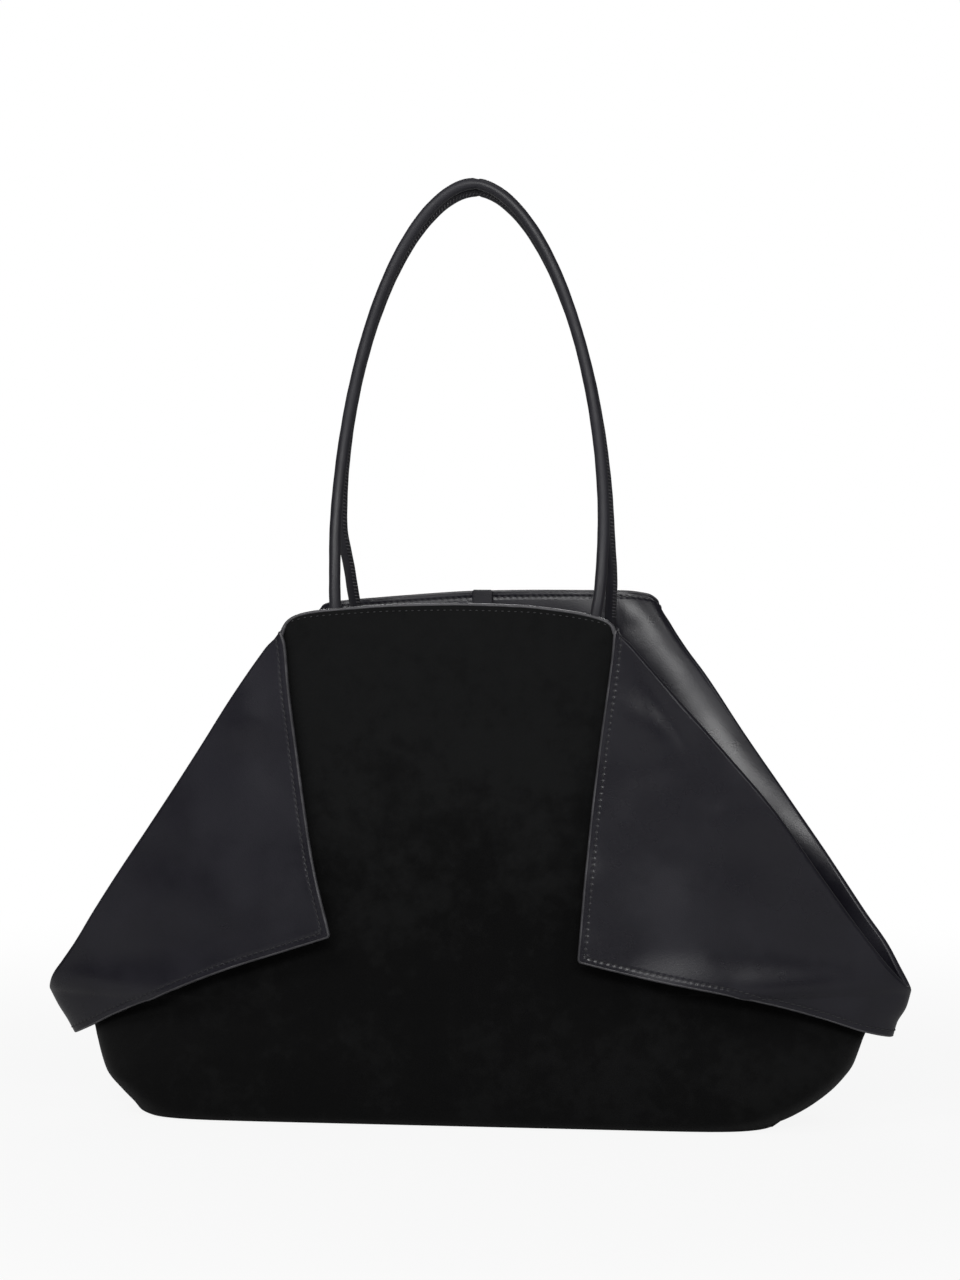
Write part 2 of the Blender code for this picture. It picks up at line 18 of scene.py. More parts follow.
import bmesh
import bpy
import numpy as np
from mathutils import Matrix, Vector

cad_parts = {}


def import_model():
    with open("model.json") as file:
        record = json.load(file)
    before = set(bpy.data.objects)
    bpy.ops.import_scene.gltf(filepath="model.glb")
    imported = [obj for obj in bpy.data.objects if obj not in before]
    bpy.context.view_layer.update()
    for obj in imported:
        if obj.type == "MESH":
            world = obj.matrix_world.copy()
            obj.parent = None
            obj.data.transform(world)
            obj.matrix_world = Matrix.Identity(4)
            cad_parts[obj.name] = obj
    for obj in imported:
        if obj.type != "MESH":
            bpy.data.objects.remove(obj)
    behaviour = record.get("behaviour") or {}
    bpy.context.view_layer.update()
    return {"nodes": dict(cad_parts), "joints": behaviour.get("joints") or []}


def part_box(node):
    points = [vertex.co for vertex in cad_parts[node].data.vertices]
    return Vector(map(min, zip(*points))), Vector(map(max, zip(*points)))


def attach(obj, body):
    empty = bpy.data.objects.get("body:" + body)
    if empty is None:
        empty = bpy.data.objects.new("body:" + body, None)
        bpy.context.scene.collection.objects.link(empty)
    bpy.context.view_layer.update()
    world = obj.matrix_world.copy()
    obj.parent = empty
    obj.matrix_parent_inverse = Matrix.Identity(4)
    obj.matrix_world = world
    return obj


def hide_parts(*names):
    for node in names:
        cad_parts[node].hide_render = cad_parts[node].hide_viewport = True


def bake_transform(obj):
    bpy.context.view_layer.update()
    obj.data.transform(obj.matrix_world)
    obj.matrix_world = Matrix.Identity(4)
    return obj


LOG = logging.getLogger("handbag")
Rows = np.ndarray
Colour = tuple[float, float, float]
Places = tuple[tuple[float, float], ...]
WHITE = (1.0, 1.0, 1.0, 1.0)
# Half length and height of the place where a handle goes into the lining.
ANCHOR = (0.0765, 0.2865)


class Part(Enum):
    """One of the bag's two faces or ends."""

    @property
    def word(self) -> str:
        """Its word in the names of pieces."""
        return self.name.lower()


class Face(Part):
    """The two panels of the bag."""

    FRONT = -1
    BACK = 1


class Side(Part):
    """The two ends of the bag, as seen from the front."""

    LEFT = -1
    RIGHT = 1


class Look(Enum):
    """Finishes that a piece can be given. All but the thread are slots of the record."""

    SUEDE = "suede"
    LINING = "lining_leather"
    EDGE = "edge_leather"
    HANDLE = "handle_leather"
    THREAD = "thread"
    BOARD = "board"
    MAGNET = "magnet"
    CORD = "core_cord"


def smooth(value: Rows | float, start: float, end: float) -> Rows:
    """An even rise from 0 at start to 1 at end.

    Args:
        value: Where to read the rise.
        start: Place where it leaves 0.
        end: Place where it reaches 1.

    Returns:
        The rise at each value.
    """
    share = np.clip((np.asarray(value, float) - start) / (end - start), 0.0, 1.0)
    return share * share * (3 - 2 * share)


def unit(vectors: Rows) -> Rows:
    """Vectors at length 1."""
    return vectors / np.maximum(np.linalg.norm(vectors, axis=-1, keepdims=True), 1e-12)


def way_out(face: Face, length: Rows, height: Rows, square_at: Callable) -> Rows:
    """The way out of a surface given as the square of its depth over length and height.

    Args:
        face: Which side of the bag it faces.
        length: Places along the bag.
        height: Heights of the same places.
        square_at: Gives the squared depth at a place, smooth also where it runs out to nothing.

    Returns:
        Unit vectors.
    """
    step = 0.0006
    rise_x = square_at(length + step, height) - square_at(length - step, height)
    rise_z = square_at(length, height + step) - square_at(length, height - step)
    depth = np.sqrt(np.maximum(square_at(length, height), 0.0))
    return unit(np.stack([-rise_x / (4 * step), face.value * depth, -rise_z / (4 * step)], -1))


def both(first: Rows, second: Rows) -> Rows:
    """Nothing on the edge of either of two regions, rising smoothly inside both."""
    return first + second - np.sqrt(first**2 + second**2)


@dataclass(frozen=True)
class Profile:
    """A smooth line through measured places, which never swings past them."""

    places: Places

    def __call__(self, at: Rows | float) -> Rows:
        """Reads the line.

        Args:
            at: Places along it.

        Returns:
            Its value at each place, held level beyond both ends.
        """
        xs, ys = np.array(sorted(self.places)).T
        at = np.clip(np.asarray(at, float), xs[0], xs[-1])
        run = np.diff(xs)
        rise = np.diff(ys) / run
        slope = np.zeros(len(xs))
        slope[0], slope[-1] = rise[0], rise[-1]
        agree = rise[:-1] * rise[1:] > 0
        total = np.where(agree, rise[:-1] + rise[1:], 1.0)
        slope[1:-1] = np.where(agree, 2 * rise[:-1] * rise[1:] / total, 0.0)
        i = np.clip(np.searchsorted(xs, at) - 1, 0, len(run) - 1)
        s = (at - xs[i]) / run[i]
        start, end = ys[i], ys[i + 1]
        lean = run[i] * (slope[i] * s * (1 - s) ** 2 - slope[i + 1] * s * s * (1 - s))
        return start + (end - start) * s * s * (3 - 2 * s) + lean


def line_past(profile: Profile, at: Rows, start: float, end: float) -> Rows:
    """A profile carried on straight beyond two places of it.

    Args:
        profile: The profile.
        at: Where to read it.
        start: Place from which it is carried on downwards.
        end: Place from which it is carried on upwards.

    Returns:
        Its value at each place.
    """
    step = 0.0008
    low = (profile(start + step) - profile(start)) / step
    high = (profile(end) - profile(end - step)) / step
    held = np.clip(at, start, end)
    return profile(held) + low * np.minimum(at - start, 0.0) + high * np.maximum(at - end, 0.0)


def along(points: Rows) -> Rows:
    """Length run from the first point to each point of a path."""
    return np.concatenate([[0.0], np.cumsum(np.linalg.norm(np.diff(points, axis=0), axis=1))])


def read(rows: Rows, run: Rows, at: Rows) -> Rows:
    """Rows of numbers that lie along a run, read at other places of it."""
    return np.stack([np.interp(at, run, column) for column in rows.T], 1)


def even(points: Rows, count: int) -> Rows:
    """A path drawn again with a count of evenly spaced points and the same ends."""
    run = along(points)
    return read(points, run, np.linspace(0, run[-1], count))


def soften(path: Rows, rounds: int) -> None:
    """Rounds off a path in place, with both its ends held."""
    for _ in range(rounds):
        path[1:-1] = (path[:-2] + 2 * path[1:-1] + path[2:]) / 4


def tangents(points: Rows) -> Rows:
    """The way along a path at each of its points."""
    return unit(np.gradient(points, axis=0))


def circle(count: int) -> Rows:
    """Evenly spaced angles once round."""
    return np.linspace(0, 2 * math.pi, count, endpoint=False)


@dataclass
class Wiring:
    """Adds and joins nodes in one tree."""

    tree: bpy.types.NodeTree

    def add(self, kind: str, **settings: object) -> bpy.types.Node:
        """Adds a node and sets its properties.

        Args:
            kind: The node's Blender type.
            **settings: Properties of the node.

        Returns:
            The node.
        """
        node = self.tree.nodes.new(kind)
        for name, value in settings.items():
            setattr(node, name, value)
        return node

    def wire(self, kind: str, values: dict[int | str, object],
             **settings: object) -> bpy.types.NodeOutputs:
        """Adds a node with its inputs linked or set.

        Args:
            kind: The node's Blender type.
            values: For each input, a socket to link into it or its own value.
            **settings: Properties of the node.

        Returns:
            The node's outputs.
        """
        node = self.add(kind, **settings)
        for key, value in values.items():
            if isinstance(value, bpy.types.NodeSocket):
                self.join(value, node.inputs[key])
            else:
                node.inputs[key].default_value = value
        return node.outputs

    def socket(self, name: str, way: str, kind: str, value: float | None = None) -> None:
        """Adds a named socket to the tree's interface.

        Args:
            name: Its name.
            way: "INPUT" or "OUTPUT".
            kind: What it carries, as Blender names it.
            value: Its usual value.
        """
        made = self.tree.interface.new_socket(
            name=name, in_out=way, socket_type=f"NodeSocket{kind}")
        if value is not None:
            made.default_value = value

    def ends(self, inputs: dict[str, float | None], *outputs: str) -> tuple:
        """Gives a shader group its sockets.

        Args:
            inputs: Each input's usual value, or none for a vector.
            *outputs: The outputs' names.

        Returns:
            The sockets that the group is given, and those that it fills.
        """
        for name, value in inputs.items():
            self.socket(name, "INPUT", "Vector" if value is None else "Float", value)
        for name in outputs:
            self.socket(name, "OUTPUT", "Float")
        return self.add("NodeGroupInput").outputs, self.add("NodeGroupOutput").inputs

    def join(self, source: bpy.types.NodeSocket, target: bpy.types.NodeSocket) -> None:
        """Links two sockets."""
        self.tree.links.new(source, target)

    def math(self, operation: str, first: object, second: object = 0.0) -> bpy.types.NodeSocket:
        """One sum on two values."""
        return self.wire("ShaderNodeMath", {0: first, 1: second}, operation=operation)[0]

    def times(self, first: object, second: object) -> bpy.types.NodeSocket:
        """Two values multiplied."""
        return self.math("MULTIPLY", first, second)

    def split(self, vector: bpy.types.NodeSocket) -> bpy.types.NodeOutputs:
        """A vector's three numbers, by axis."""
        return self.wire("ShaderNodeSeparateXYZ", {0: vector})

    def spread(self, value: object, low: float, high: float, out_low: float = 0.0,
               out_high: float = 1.0) -> bpy.types.NodeSocket:
        """Carries a range of values over to another range, held at its ends.

        Args:
            value: What to carry over.
            low: Start of its range.
            high: End of its range.
            out_low: Value at the start.
            out_high: Value at the end.

        Returns:
            The new value.
        """
        values = {"Value": value, "From Min": low, "From Max": high, "To Min": out_low,
                  "To Max": out_high}
        return self.wire("ShaderNodeMapRange", values, interpolation_type="SMOOTHSTEP")["Result"]

    def noise(self, vector: object, scale: object, detail: float,
              rough: float = 0.5) -> bpy.types.NodeSocket:
        """Soft noise read at a vector."""
        values = {"Vector": vector, "Scale": scale, "Detail": detail, "Roughness": rough}
        return self.wire("ShaderNodeTexNoise", values)["Fac"]

    def mix(self, share: object, dark: Colour, light: Colour) -> bpy.types.NodeSocket:
        """A colour between two colours."""
        values = {0: share, 6: (*dark, 1.0), 7: (*light, 1.0)}
        return self.wire("ShaderNodeMix", values, data_type="RGBA")[2]


@dataclass
class Effects:
    """Shader node groups that several finishes share, each built once."""

    made: dict[str, bpy.types.NodeTree] = field(default_factory=dict)

    def group(self, name: str) -> bpy.types.NodeTree:
        """The named group, built on first use.

        Args:
            name: Its name.

        Returns:
            The group.
        """
        if name not in self.made:
            wiring = Wiring(bpy.data.node_groups.new(name, "ShaderNodeTree"))
            self.made[name] = wiring.tree
            {"nap": self.build_nap, "grain": self.build_grain,
             "pucker": self.build_pucker}[name](wiring)
        return self.made[name]

    def place(self, wiring: Wiring, name: str, **values: object) -> bpy.types.NodeOutputs:
        """Puts a group into a material.

        Args:
            wiring: The material's tree.
            name: The group's name.
            **values: Its inputs, in small letters.

        Returns:
            What the group gives.
        """
        inputs = {key.title(): value for key, value in values.items()}
        return wiring.wire("ShaderNodeGroup", inputs, node_tree=self.group(name))

    def build_nap(self, wiring: Wiring) -> None:
        """Suede's nap: strokes where the hand has laid it, and short fibres.

        Args:
            wiring: The group's tree.
        """
        given, out = wiring.ends({"Vector": None, "Patch": 16.0, "Fibre": 1400.0},
                                 "Tone", "Relief")
        wide = wiring.noise(given["Vector"], given["Patch"], 3.0, 0.55)
        close = wiring.noise(given["Vector"], wiring.times(given["Patch"], 7.0), 4.0, 0.6)
        fibre = wiring.noise(given["Vector"], given["Fibre"], 2.0, 0.6)
        lay = wiring.math("ADD", wiring.times(wide, 0.6), wiring.times(close, 0.4))
        wiring.join(wiring.spread(lay, 0.36, 0.66), out["Tone"])
        wiring.join(wiring.math("ADD", fibre, wiring.times(close, 0.8)), out["Relief"])

    def build_grain(self, wiring: Wiring) -> None:
        """Fine leather grain: pores, cells that stretch with the hide, and soft clouds.

        Args:
            wiring: The group's tree.
        """
        given, out = wiring.ends({"Vector": None, "Cell": 900.0, "Cloud": 14.0},
                                 "Tone", "Relief")
        warp = wiring.wire("ShaderNodeTexNoise", {"Vector": given["Vector"], "Scale": 60.0})
        drift = wiring.wire("ShaderNodeVectorMath", {
            0: warp["Color"], 1: (0.0016, 0.0016, 0.0016), 2: given["Vector"]},
            operation="MULTIPLY_ADD")[0]
        cells = wiring.wire("ShaderNodeTexVoronoi", {
            "Vector": drift, "Scale": given["Cell"], "Smoothness": 0.6}, feature="SMOOTH_F1")
        pores = wiring.noise(drift, wiring.times(given["Cell"], 2.6), 2.0)
        cloud = wiring.noise(given["Vector"], given["Cloud"], 4.0, 0.55)
        relief = wiring.math("SUBTRACT", wiring.times(pores, 0.35),
                             wiring.times(cells["Distance"], 0.8))
        wiring.join(relief, out["Relief"])
        wiring.join(wiring.spread(cloud, 0.34, 0.68), out["Tone"])

    def build_pucker(self, wiring: Wiring) -> None:
        """The dips that a row of stitches pulls into a sheet, read from a seam's UV map.

        Args:
            wiring: The group's tree.
        """
        given, out = wiring.ends({"Seam": None, "Inset": 0.0035, "Pitch": 0.0038}, "Dip", "Rim")
        seam = wiring.split(given["Seam"])
        off = wiring.math("ABSOLUTE", wiring.math("SUBTRACT", seam["Y"], given["Inset"]))
        turn = wiring.times(wiring.math("DIVIDE", seam["X"], given["Pitch"]), 2 * math.pi)
        beat = wiring.spread(wiring.math("COSINE", turn), -1.0, 1.0, 0.35, 1.0)
        wiring.join(wiring.times(wiring.spread(off, 0.0, 0.0018, 1.0, 0.0), beat), out["Dip"])
        wiring.join(wiring.spread(seam["Y"], 0.0, 0.0024, 1.0, 0.0), out["Rim"])


@dataclass
class Canvas:
    """A material being made: its shader, its wiring and the object's coordinates."""

    material: bpy.types.Material
    wiring: Wiring
    shader: bpy.types.Node
    place: bpy.types.NodeSocket

    @classmethod
    def new(cls, name: str, numbers: dict[str, float]) -> Canvas:
        """Starts a material whose plain numbers sit on the shader itself.

        Args:
            name: The material's name.
            numbers: The shader's inputs and their values.

        Returns:
            The canvas.
        """
        made = bpy.data.materials.new(name)
        made.use_nodes = True
        wiring = Wiring(made.node_tree)
        shader = made.node_tree.nodes["Principled BSDF"]
        for key, value in numbers.items():
            shader.inputs[key].default_value = value
        return cls(made, wiring, shader, wiring.wire("ShaderNodeTexCoord", {})["Object"])

    def bump(self, height: bpy.types.NodeSocket, depth: float, strength: float,
             under: bpy.types.NodeSocket | None = None) -> bpy.types.NodeSocket:
        """Adds a relief to the surface.

        Args:
            height: The relief, in shares of its depth.
            depth: How deep it goes, in metres.
            strength: How much of it shows.
            under: A normal that the relief lies over.

        Returns:
            The new normal.
        """
        values = {"Strength": strength, "Distance": depth, "Height": height}
        if under is not None:
            values["Normal"] = under
        return self.wiring.wire("ShaderNodeBump", values)["Normal"]


@dataclass(frozen=True)
class Finish:
    """A finish whose colour, shine and relief all follow one shared effect.

    Rough, depth and strength are the roughness at both ends of the effect's tone, and how deep its
    relief goes and shows. Painted shade, where given, spreads a range of heights over a change of
    tone: darker low down and lighter higher up, standing in for light from above. Pucker is how
    deep a seam's dips go and how much of them shows.
    """

    dark: Colour
    light: Colour
    rough: tuple[float, float]
    depth: float
    strength: float
    scales: dict[str, float]
    shader: dict[str, float]
    effect: str = "nap"
    worn: tuple[float, float, float, float] | None = None
    seam_map: str = ""
    pucker: tuple[float, float] = (0.0004, 0.7)
    rim_polish: float = 0.06

    def build(self, name: str, effects: Effects) -> bpy.types.Material:
        """Makes the material.

        Args:
            name: Its name.
            effects: The shared node groups.

        Returns:
            The material.
        """
        canvas = Canvas.new(name, self.shader)
        wiring = canvas.wiring
        effect = effects.place(wiring, self.effect, vector=canvas.place, **self.scales)
        tone = effect["Tone"]
        rough = wiring.spread(tone, 0.0, 1.0, *self.rough)
        normal = canvas.bump(effect["Relief"], self.depth, self.strength)
        # Painted shade and light: the tone falls towards the bottom and rises towards the top, as
        # light from above would make it.
        if self.worn:
            height = wiring.split(canvas.place)["Z"]
            tone = wiring.math("ADD", tone, wiring.spread(height, *self.worn))
        if self.seam_map:
            seam = wiring.wire("ShaderNodeUVMap", {}, uv_map=self.seam_map)["UV"]
            pucker = effects.place(wiring, "pucker", seam=seam)
            normal = canvas.bump(wiring.times(pucker["Dip"], -1.0), *self.pucker, normal)
            polish = wiring.times(pucker["Rim"], self.rim_polish)
            rough = wiring.math("SUBTRACT", rough, polish)
        for value, key in ((wiring.mix(tone, self.dark, self.light), "Base Color"),
                           (rough, "Roughness"), (normal, "Normal")):
            wiring.join(value, canvas.shader.inputs[key])
        return canvas.material


GLOSS = "Specular IOR Level"
FINISHES = {
    # Black suede with a soft nap, darker and lighter where the hand has laid it, and with painted
    # shade:
    # darker low down and lighter higher up, for the light from above.
    Look.SUEDE: Finish(
        (0.0019, 0.0019, 0.0020), (0.0056, 0.0058, 0.0060), (0.97, 0.88), 0.0003, 0.6,
        {"patch": 15.0}, {"Sheen Weight": 0.08, "Sheen Roughness": 0.45, GLOSS: 0.12},
        worn=(0.05, 0.30, -0.55, 0.75)),
    # Smooth near-black leather with a fine grain, a satin shine and dips along its seams.
    Look.LINING: Finish(
        (0.0066, 0.0060, 0.0100), (0.0102, 0.0095, 0.0150), (0.27, 0.40), 0.00008, 0.55,
        {"cell": 1300.0}, {GLOSS: 0.42}, "grain", seam_map="seam"),
    # Painted and burnished leather edge, lighter than the sheet it closes: partly its own edge
    # paint, partly a painted highlight of the bright line that light draws along the edge.
    Look.EDGE: Finish(
        (0.038, 0.037, 0.041), (0.066, 0.064, 0.070), (0.30, 0.44), 0.0001, 0.6,
        {"cell": 1300.0, "cloud": 90.0}, {GLOSS: 0.5}, "grain"),
    # The handles' firmer leather, lighter and less shiny than the lining.
    Look.HANDLE: Finish(
        (0.0125, 0.0120, 0.0160), (0.0185, 0.0180, 0.0235), (0.42, 0.58), 0.00008, 0.55,
        {"cell": 1400.0}, {GLOSS: 0.42}, "grain"),
    # Bonded black thread, twisted, with a slight shine.
    Look.THREAD: Finish(
        (0.012, 0.012, 0.013), (0.034, 0.034, 0.037), (0.5, 0.7), 0.0001, 0.7,
        {"patch": 2600.0, "fibre": 2600.0}, {GLOSS: 0.5}),
    # Pressed fibre board, matt with fine flecks.
    Look.BOARD: Finish(
        (0.040, 0.039, 0.038), (0.062, 0.060, 0.058), (0.75, 0.9), 0.0001, 0.5,
        {"patch": 220.0, "fibre": 2000.0}, {GLOSS: 0.3}),
    # Satin steel with fine scuffs, for the closure's discs.
    Look.MAGNET: Finish(
        (0.26, 0.26, 0.27), (0.38, 0.38, 0.39), (0.28, 0.42), 0.00002, 0.5,
        {"patch": 260.0, "fibre": 3000.0}, {"Metallic": 1.0}),
    # Undyed cotton cord, matt.
    Look.CORD: Finish(
        (0.20, 0.18, 0.15), (0.31, 0.29, 0.25), (0.9, 0.9), 0.0003, 1.0,
        {"patch": 420.0, "fibre": 1800.0}, {GLOSS: 0.2}),
}


@dataclass
class Wardrobe:
    """Every finished material of the bag."""

    made: dict[Look, bpy.types.Material] = field(default_factory=dict)

    def fill(self) -> None:
        """Builds each material once."""
        effects = Effects()
        for look, finish in FINISHES.items():
            self.made[look] = finish.build(look.value, effects)

    def dress(self, piece: bpy.types.Object, look: Look) -> None:
        """Gives a piece one finish as its only material, named like the record's slot.

        Args:
            piece: The piece.
            look: Its finish.
        """
        piece.data.materials.clear()
        piece.data.materials.append(self.made[look])


def add_grid(name: str, points: Rows, flip: bool = False, seam: Rows | None = None,
             closed: bool = False) -> bpy.types.Object:
    """A smooth sheet over rows and columns of points.

    Args:
        name: The piece's name.
        points: Rows by columns by 3.
        flip: Whether the faces turn the other way.
        seam: A UV pair for each point, kept in the map "seam".
        closed: Whether the last column joins the first.

    Returns:
        The piece.
    """
    rows, columns = points.shape[:2]
    index = np.arange(rows * columns).reshape(rows, columns)
    if closed:
        index = np.concatenate([index, index[:, :1]], 1)
    quads = np.stack([index[:-1, :-1], index[:-1, 1:], index[1:, 1:], index[1:, :-1]], -1)
    quads = quads.reshape(-1, 4)
    if flip:
        quads = quads[:, ::-1]
    mesh = bpy.data.meshes.new(name)
    mesh.from_pydata(points.reshape(-1, 3).tolist(), [], quads.tolist())
    pairs = np.ones((rows * columns, 2)) if seam is None else seam.reshape(-1, 2)
    layer = mesh.uv_layers.new(name="seam")
    corner = np.empty(len(mesh.loops), int)
    mesh.loops.foreach_get("vertex_index", corner)
    layer.data.foreach_set("uv", pairs[corner].ravel())
    return add_piece(name, mesh)


def show(name: str, data: bpy.types.ID) -> bpy.types.Object:
    """Puts data in the scene as a named object.

    Args:
        name: The object's name.
        data: Its mesh, light or camera.

    Returns:
        The object.
    """
    made = bpy.data.objects.new(name, data)
    bpy.context.scene.collection.objects.link(made)
    return made


def add_piece(name: str, mesh: bpy.types.Mesh) -> bpy.types.Object:
    """Puts a mesh in the scene, with doubled points and empty faces taken out, and smooth.

    Args:
        name: The piece's name.
        mesh: Its mesh.

    Returns:
        The piece.
    """
    shape = bmesh.new()
    shape.from_mesh(mesh)
    bmesh.ops.remove_doubles(shape, verts=shape.verts, dist=2e-6)
    bmesh.ops.dissolve_degenerate(shape, edges=shape.edges, dist=1e-6)
    shape.to_mesh(mesh)
    shape.free()
    mesh.shade_smooth()
    return show(name, mesh)


def join(first: bpy.types.Object, second: bpy.types.Object) -> bpy.types.Object:
    """Adds the second sheet to the first, with shared edges welded.

    Args:
        first: The sheet that is kept.
        second: The sheet that goes into it.

    Returns:
        The first sheet.
    """
    shape = bmesh.new()
    shape.from_mesh(first.data)
    shape.from_mesh(second.data)
    bmesh.ops.remove_doubles(shape, verts=shape.verts, dist=5e-6)
    shape.to_mesh(first.data)
    shape.free()
    first.data.shade_smooth()
    bpy.data.objects.remove(second)
    return first


def add_tube(name: str, path: Rows, out: Rows, thick: float, wide: float) -> bpy.types.Object:
    """A bead or cord along a path, closed at both ends.

    Args:
        name: The piece's name.
        path: Its centre line.
        out: The way that its width is measured in, at each point.
        thick: Half its thickness, across out.
        wide: Half its width, along out.

    Returns:
        The piece.
    """
    way = tangents(path)
    out = unit(out - way * np.sum(out * way, 1, keepdims=True))
    across = np.cross(way, out)
    turn = circle(12)[None, :, None]
    rings = path[:, None] + out[:, None] * wide * np.cos(turn)
    rings = rings + across[:, None] * thick * np.sin(turn)
    first, last = (np.broadcast_to(path[end], rings[:1].shape) for end in (0, -1))
    return add_grid(name, np.concatenate([first, rings, last]), closed=True)


@dataclass(frozen=True)
class Seam:
    """One row of stitches: how long, how thick and how far apart they lie."""

    pitch: float = 0.0038
    length: float = 0.0031
    thick: float = 0.00056
    slant: float = 0.16
    sink: float = 0.00015


# Inputs, nodes, values and links of the tree that lays a stitch at each step of a path.
STITCH_INPUTS = (
    ("Path", "Geometry", None), ("Pitch", "Float", 0.0038), ("Length", "Float", 0.003),
    ("Thickness", "Float", 0.0004), ("Slant", "Float", 0.0), ("Wander", "Float", 0.04),
    ("Seed", "Int", 7), ("Thread", "Material", None))
STITCH_NODES = {
    "given": ("NodeGroupInput", {}),
    "out": ("NodeGroupOutput", {}),
    "curve": ("GeometryNodeMeshToCurve", {}),
    "steps": ("GeometryNodeResampleCurve", {"mode": "LENGTH"}),
    "ball": ("GeometryNodeMeshUVSphere", {}),
    "size": ("ShaderNodeCombineXYZ", {}),
    "long": ("GeometryNodeTransform", {}),
    "tangent": ("GeometryNodeInputTangent", {}),
    "lie": ("FunctionNodeAlignRotationToVector", {"axis": "Z"}),
    "ways": ("GeometryNodeInputNamedAttribute", {"data_type": "FLOAT_VECTOR"}),
    "face": ("FunctionNodeAlignRotationToVector", {"axis": "X", "pivot_axis": "Z"}),
    "chance": ("FunctionNodeRandomValue", {"data_type": "FLOAT"}),
    "least": ("ShaderNodeMath", {"operation": "MULTIPLY"}),
    "lean": ("ShaderNodeMath", {"operation": "ADD"}),
    "turn": ("ShaderNodeCombineXYZ", {}),
    "euler": ("FunctionNodeEulerToRotation", {}),
    "slanted": ("FunctionNodeRotateRotation", {"rotation_space": "LOCAL"}),
    "row": ("GeometryNodeInstanceOnPoints", {}),
    "real": ("GeometryNodeRealizeInstances", {}),
    "dyed": ("GeometryNodeSetMaterial", {}),
}
STITCH_VALUES = (
    ("ball", "Segments", 8), ("ball", "Rings", 5), ("ball", "Radius", 0.5), ("ways", "Name", "out"),
    ("least", 1, -1.0))
STITCH_LINKS = (
    ("given", "Path", "curve", "Mesh"), ("curve", "Curve", "steps", "Curve"),
    ("given", "Pitch", "steps", "Length"), ("given", "Length", "size", "Z"),
    ("given", "Thickness", "size", "X"), ("given", "Thickness", "size", "Y"),
    ("ball", "Mesh", "long", "Geometry"), ("size", 0, "long", "Scale"),
    ("tangent", 0, "lie", "Vector"), ("lie", "Rotation", "face", "Rotation"),
    ("ways", "Attribute", "face", "Vector"), ("given", "Wander", "least", 0),
    ("least", 0, "chance", 2), ("given", "Wander", "chance", 3),
    ("given", "Seed", "chance", "Seed"), ("given", "Slant", "lean", 0),
    ("chance", 1, "lean", 1), ("lean", 0, "turn", "X"), ("turn", 0, "euler", 0),
    ("face", "Rotation", "slanted", "Rotation"), ("euler", 0, "slanted", "Rotate By"),
    ("steps", "Curve", "row", "Points"), ("long", "Geometry", "row", "Instance"),
    ("slanted", "Rotation", "row", "Rotation"), ("row", "Instances", "real", "Geometry"),
    ("real", "Geometry", "dyed", "Geometry"), ("given", "Thread", "dyed", "Material"),
    ("dyed", "Geometry", "out", "Stitches"))


@dataclass
class Sewing:
    """Rows of stitches made by one Geometry Nodes tree."""

    thread: bpy.types.Material
    tree: bpy.types.NodeTree | None = None

    def build(self) -> None:
        """Builds the tree."""
        wiring = Wiring(bpy.data.node_groups.new("stitch_row", "GeometryNodeTree"))
        self.tree = wiring.tree
        for name, kind, value in STITCH_INPUTS:
            wiring.socket(name, "INPUT", kind, value)
        wiring.socket("Stitches", "OUTPUT", "Geometry")
        nodes = {name: wiring.add(kind, **settings)
                 for name, (kind, settings) in STITCH_NODES.items()}
        for name, key, value in STITCH_VALUES:
            nodes[name].inputs[key].default_value = value
        for source, given, target, taken in STITCH_LINKS:
            wiring.join(nodes[source].outputs[given], nodes[target].inputs[taken])

    def sew(self, name: str, path: Rows, out: Rows, seam: Seam, seed: int,
            dye: bpy.types.Material | None = None) -> bpy.types.Object:
        """Sews one row along a path and bakes it to a plain mesh.

        Args:
            name: The piece's name.
            path: The row's line on the surface.
            out: The surface's outward way at each point.
            seam: The kind of row.
            seed: Seed of its small unevenness.
            dye: Its material, or none for the common thread.

        Returns:
            The row of stitches.
        """
        if self.tree is None:
            self.build()
        mesh = bpy.data.meshes.new(f"{name}_line")
        lifted = path + unit(out) * (seam.thick / 2 - seam.sink)
        mesh.from_pydata(lifted.tolist(), [(i, i + 1) for i in range(len(path) - 1)], [])
        ways = mesh.attributes.new("out", "FLOAT_VECTOR", "POINT")
        ways.data.foreach_set("vector", unit(out).astype(np.float32).ravel())
        line = show(f"{name}_line", mesh)
        step = line.modifiers.new("stitches", "NODES")
        step.node_group = self.tree
        keys = {item.name: item.identifier for item in self.tree.interface.items_tree}
        for key, value in (("Pitch", seam.pitch), ("Length", seam.length),
                           ("Thickness", seam.thick), ("Slant", seam.slant), ("Seed", seed),
                           ("Thread", dye or self.thread)):
            step[keys[key]] = value
        graph = bpy.context.evaluated_depsgraph_get()
        baked = bpy.data.meshes.new_from_object(line.evaluated_get(graph))
        bpy.data.objects.remove(line)
        baked.shade_smooth()
        piece = show(name, baked)
        return piece


@dataclass(frozen=True)
class Rig:
    """The frame's hinges, by the body that each one moves."""

    joints: tuple[dict, ...]

    def hinge(self, child: str) -> tuple[Rows, Rows]:
        """A body's hinge.

        Args:
            child: The body that it moves.

        Returns:
            A point on the hinge line, and its way.
        """
        found = next(joint for joint in self.joints if joint["child"] == child)
        return np.array(found["pos_m"]), unit(np.array(found["axis"]))


@dataclass(frozen=True)
class Outline:
    """One side edge of one panel: half lengths by height, under its tip and up its fold."""

    low: Profile
    crest: Profile
    tip: float
    shoulder: float
    shoulder_depth: float = 0.058

    def length(self, height: Rows) -> Rows:
        """Half length of the panel at a height."""
        return np.where(np.asarray(height) < self.tip, self.low(height), self.crest(height))

    def depth(self, height: Rows) -> Rows:
        """Half depth of the panel's fold at a height, nothing below its tip."""
        rise = (np.asarray(height, float) - self.tip) / (self.shoulder - self.tip)
        return self.shoulder_depth * np.sqrt(np.clip(rise, 0.0, 1.0))


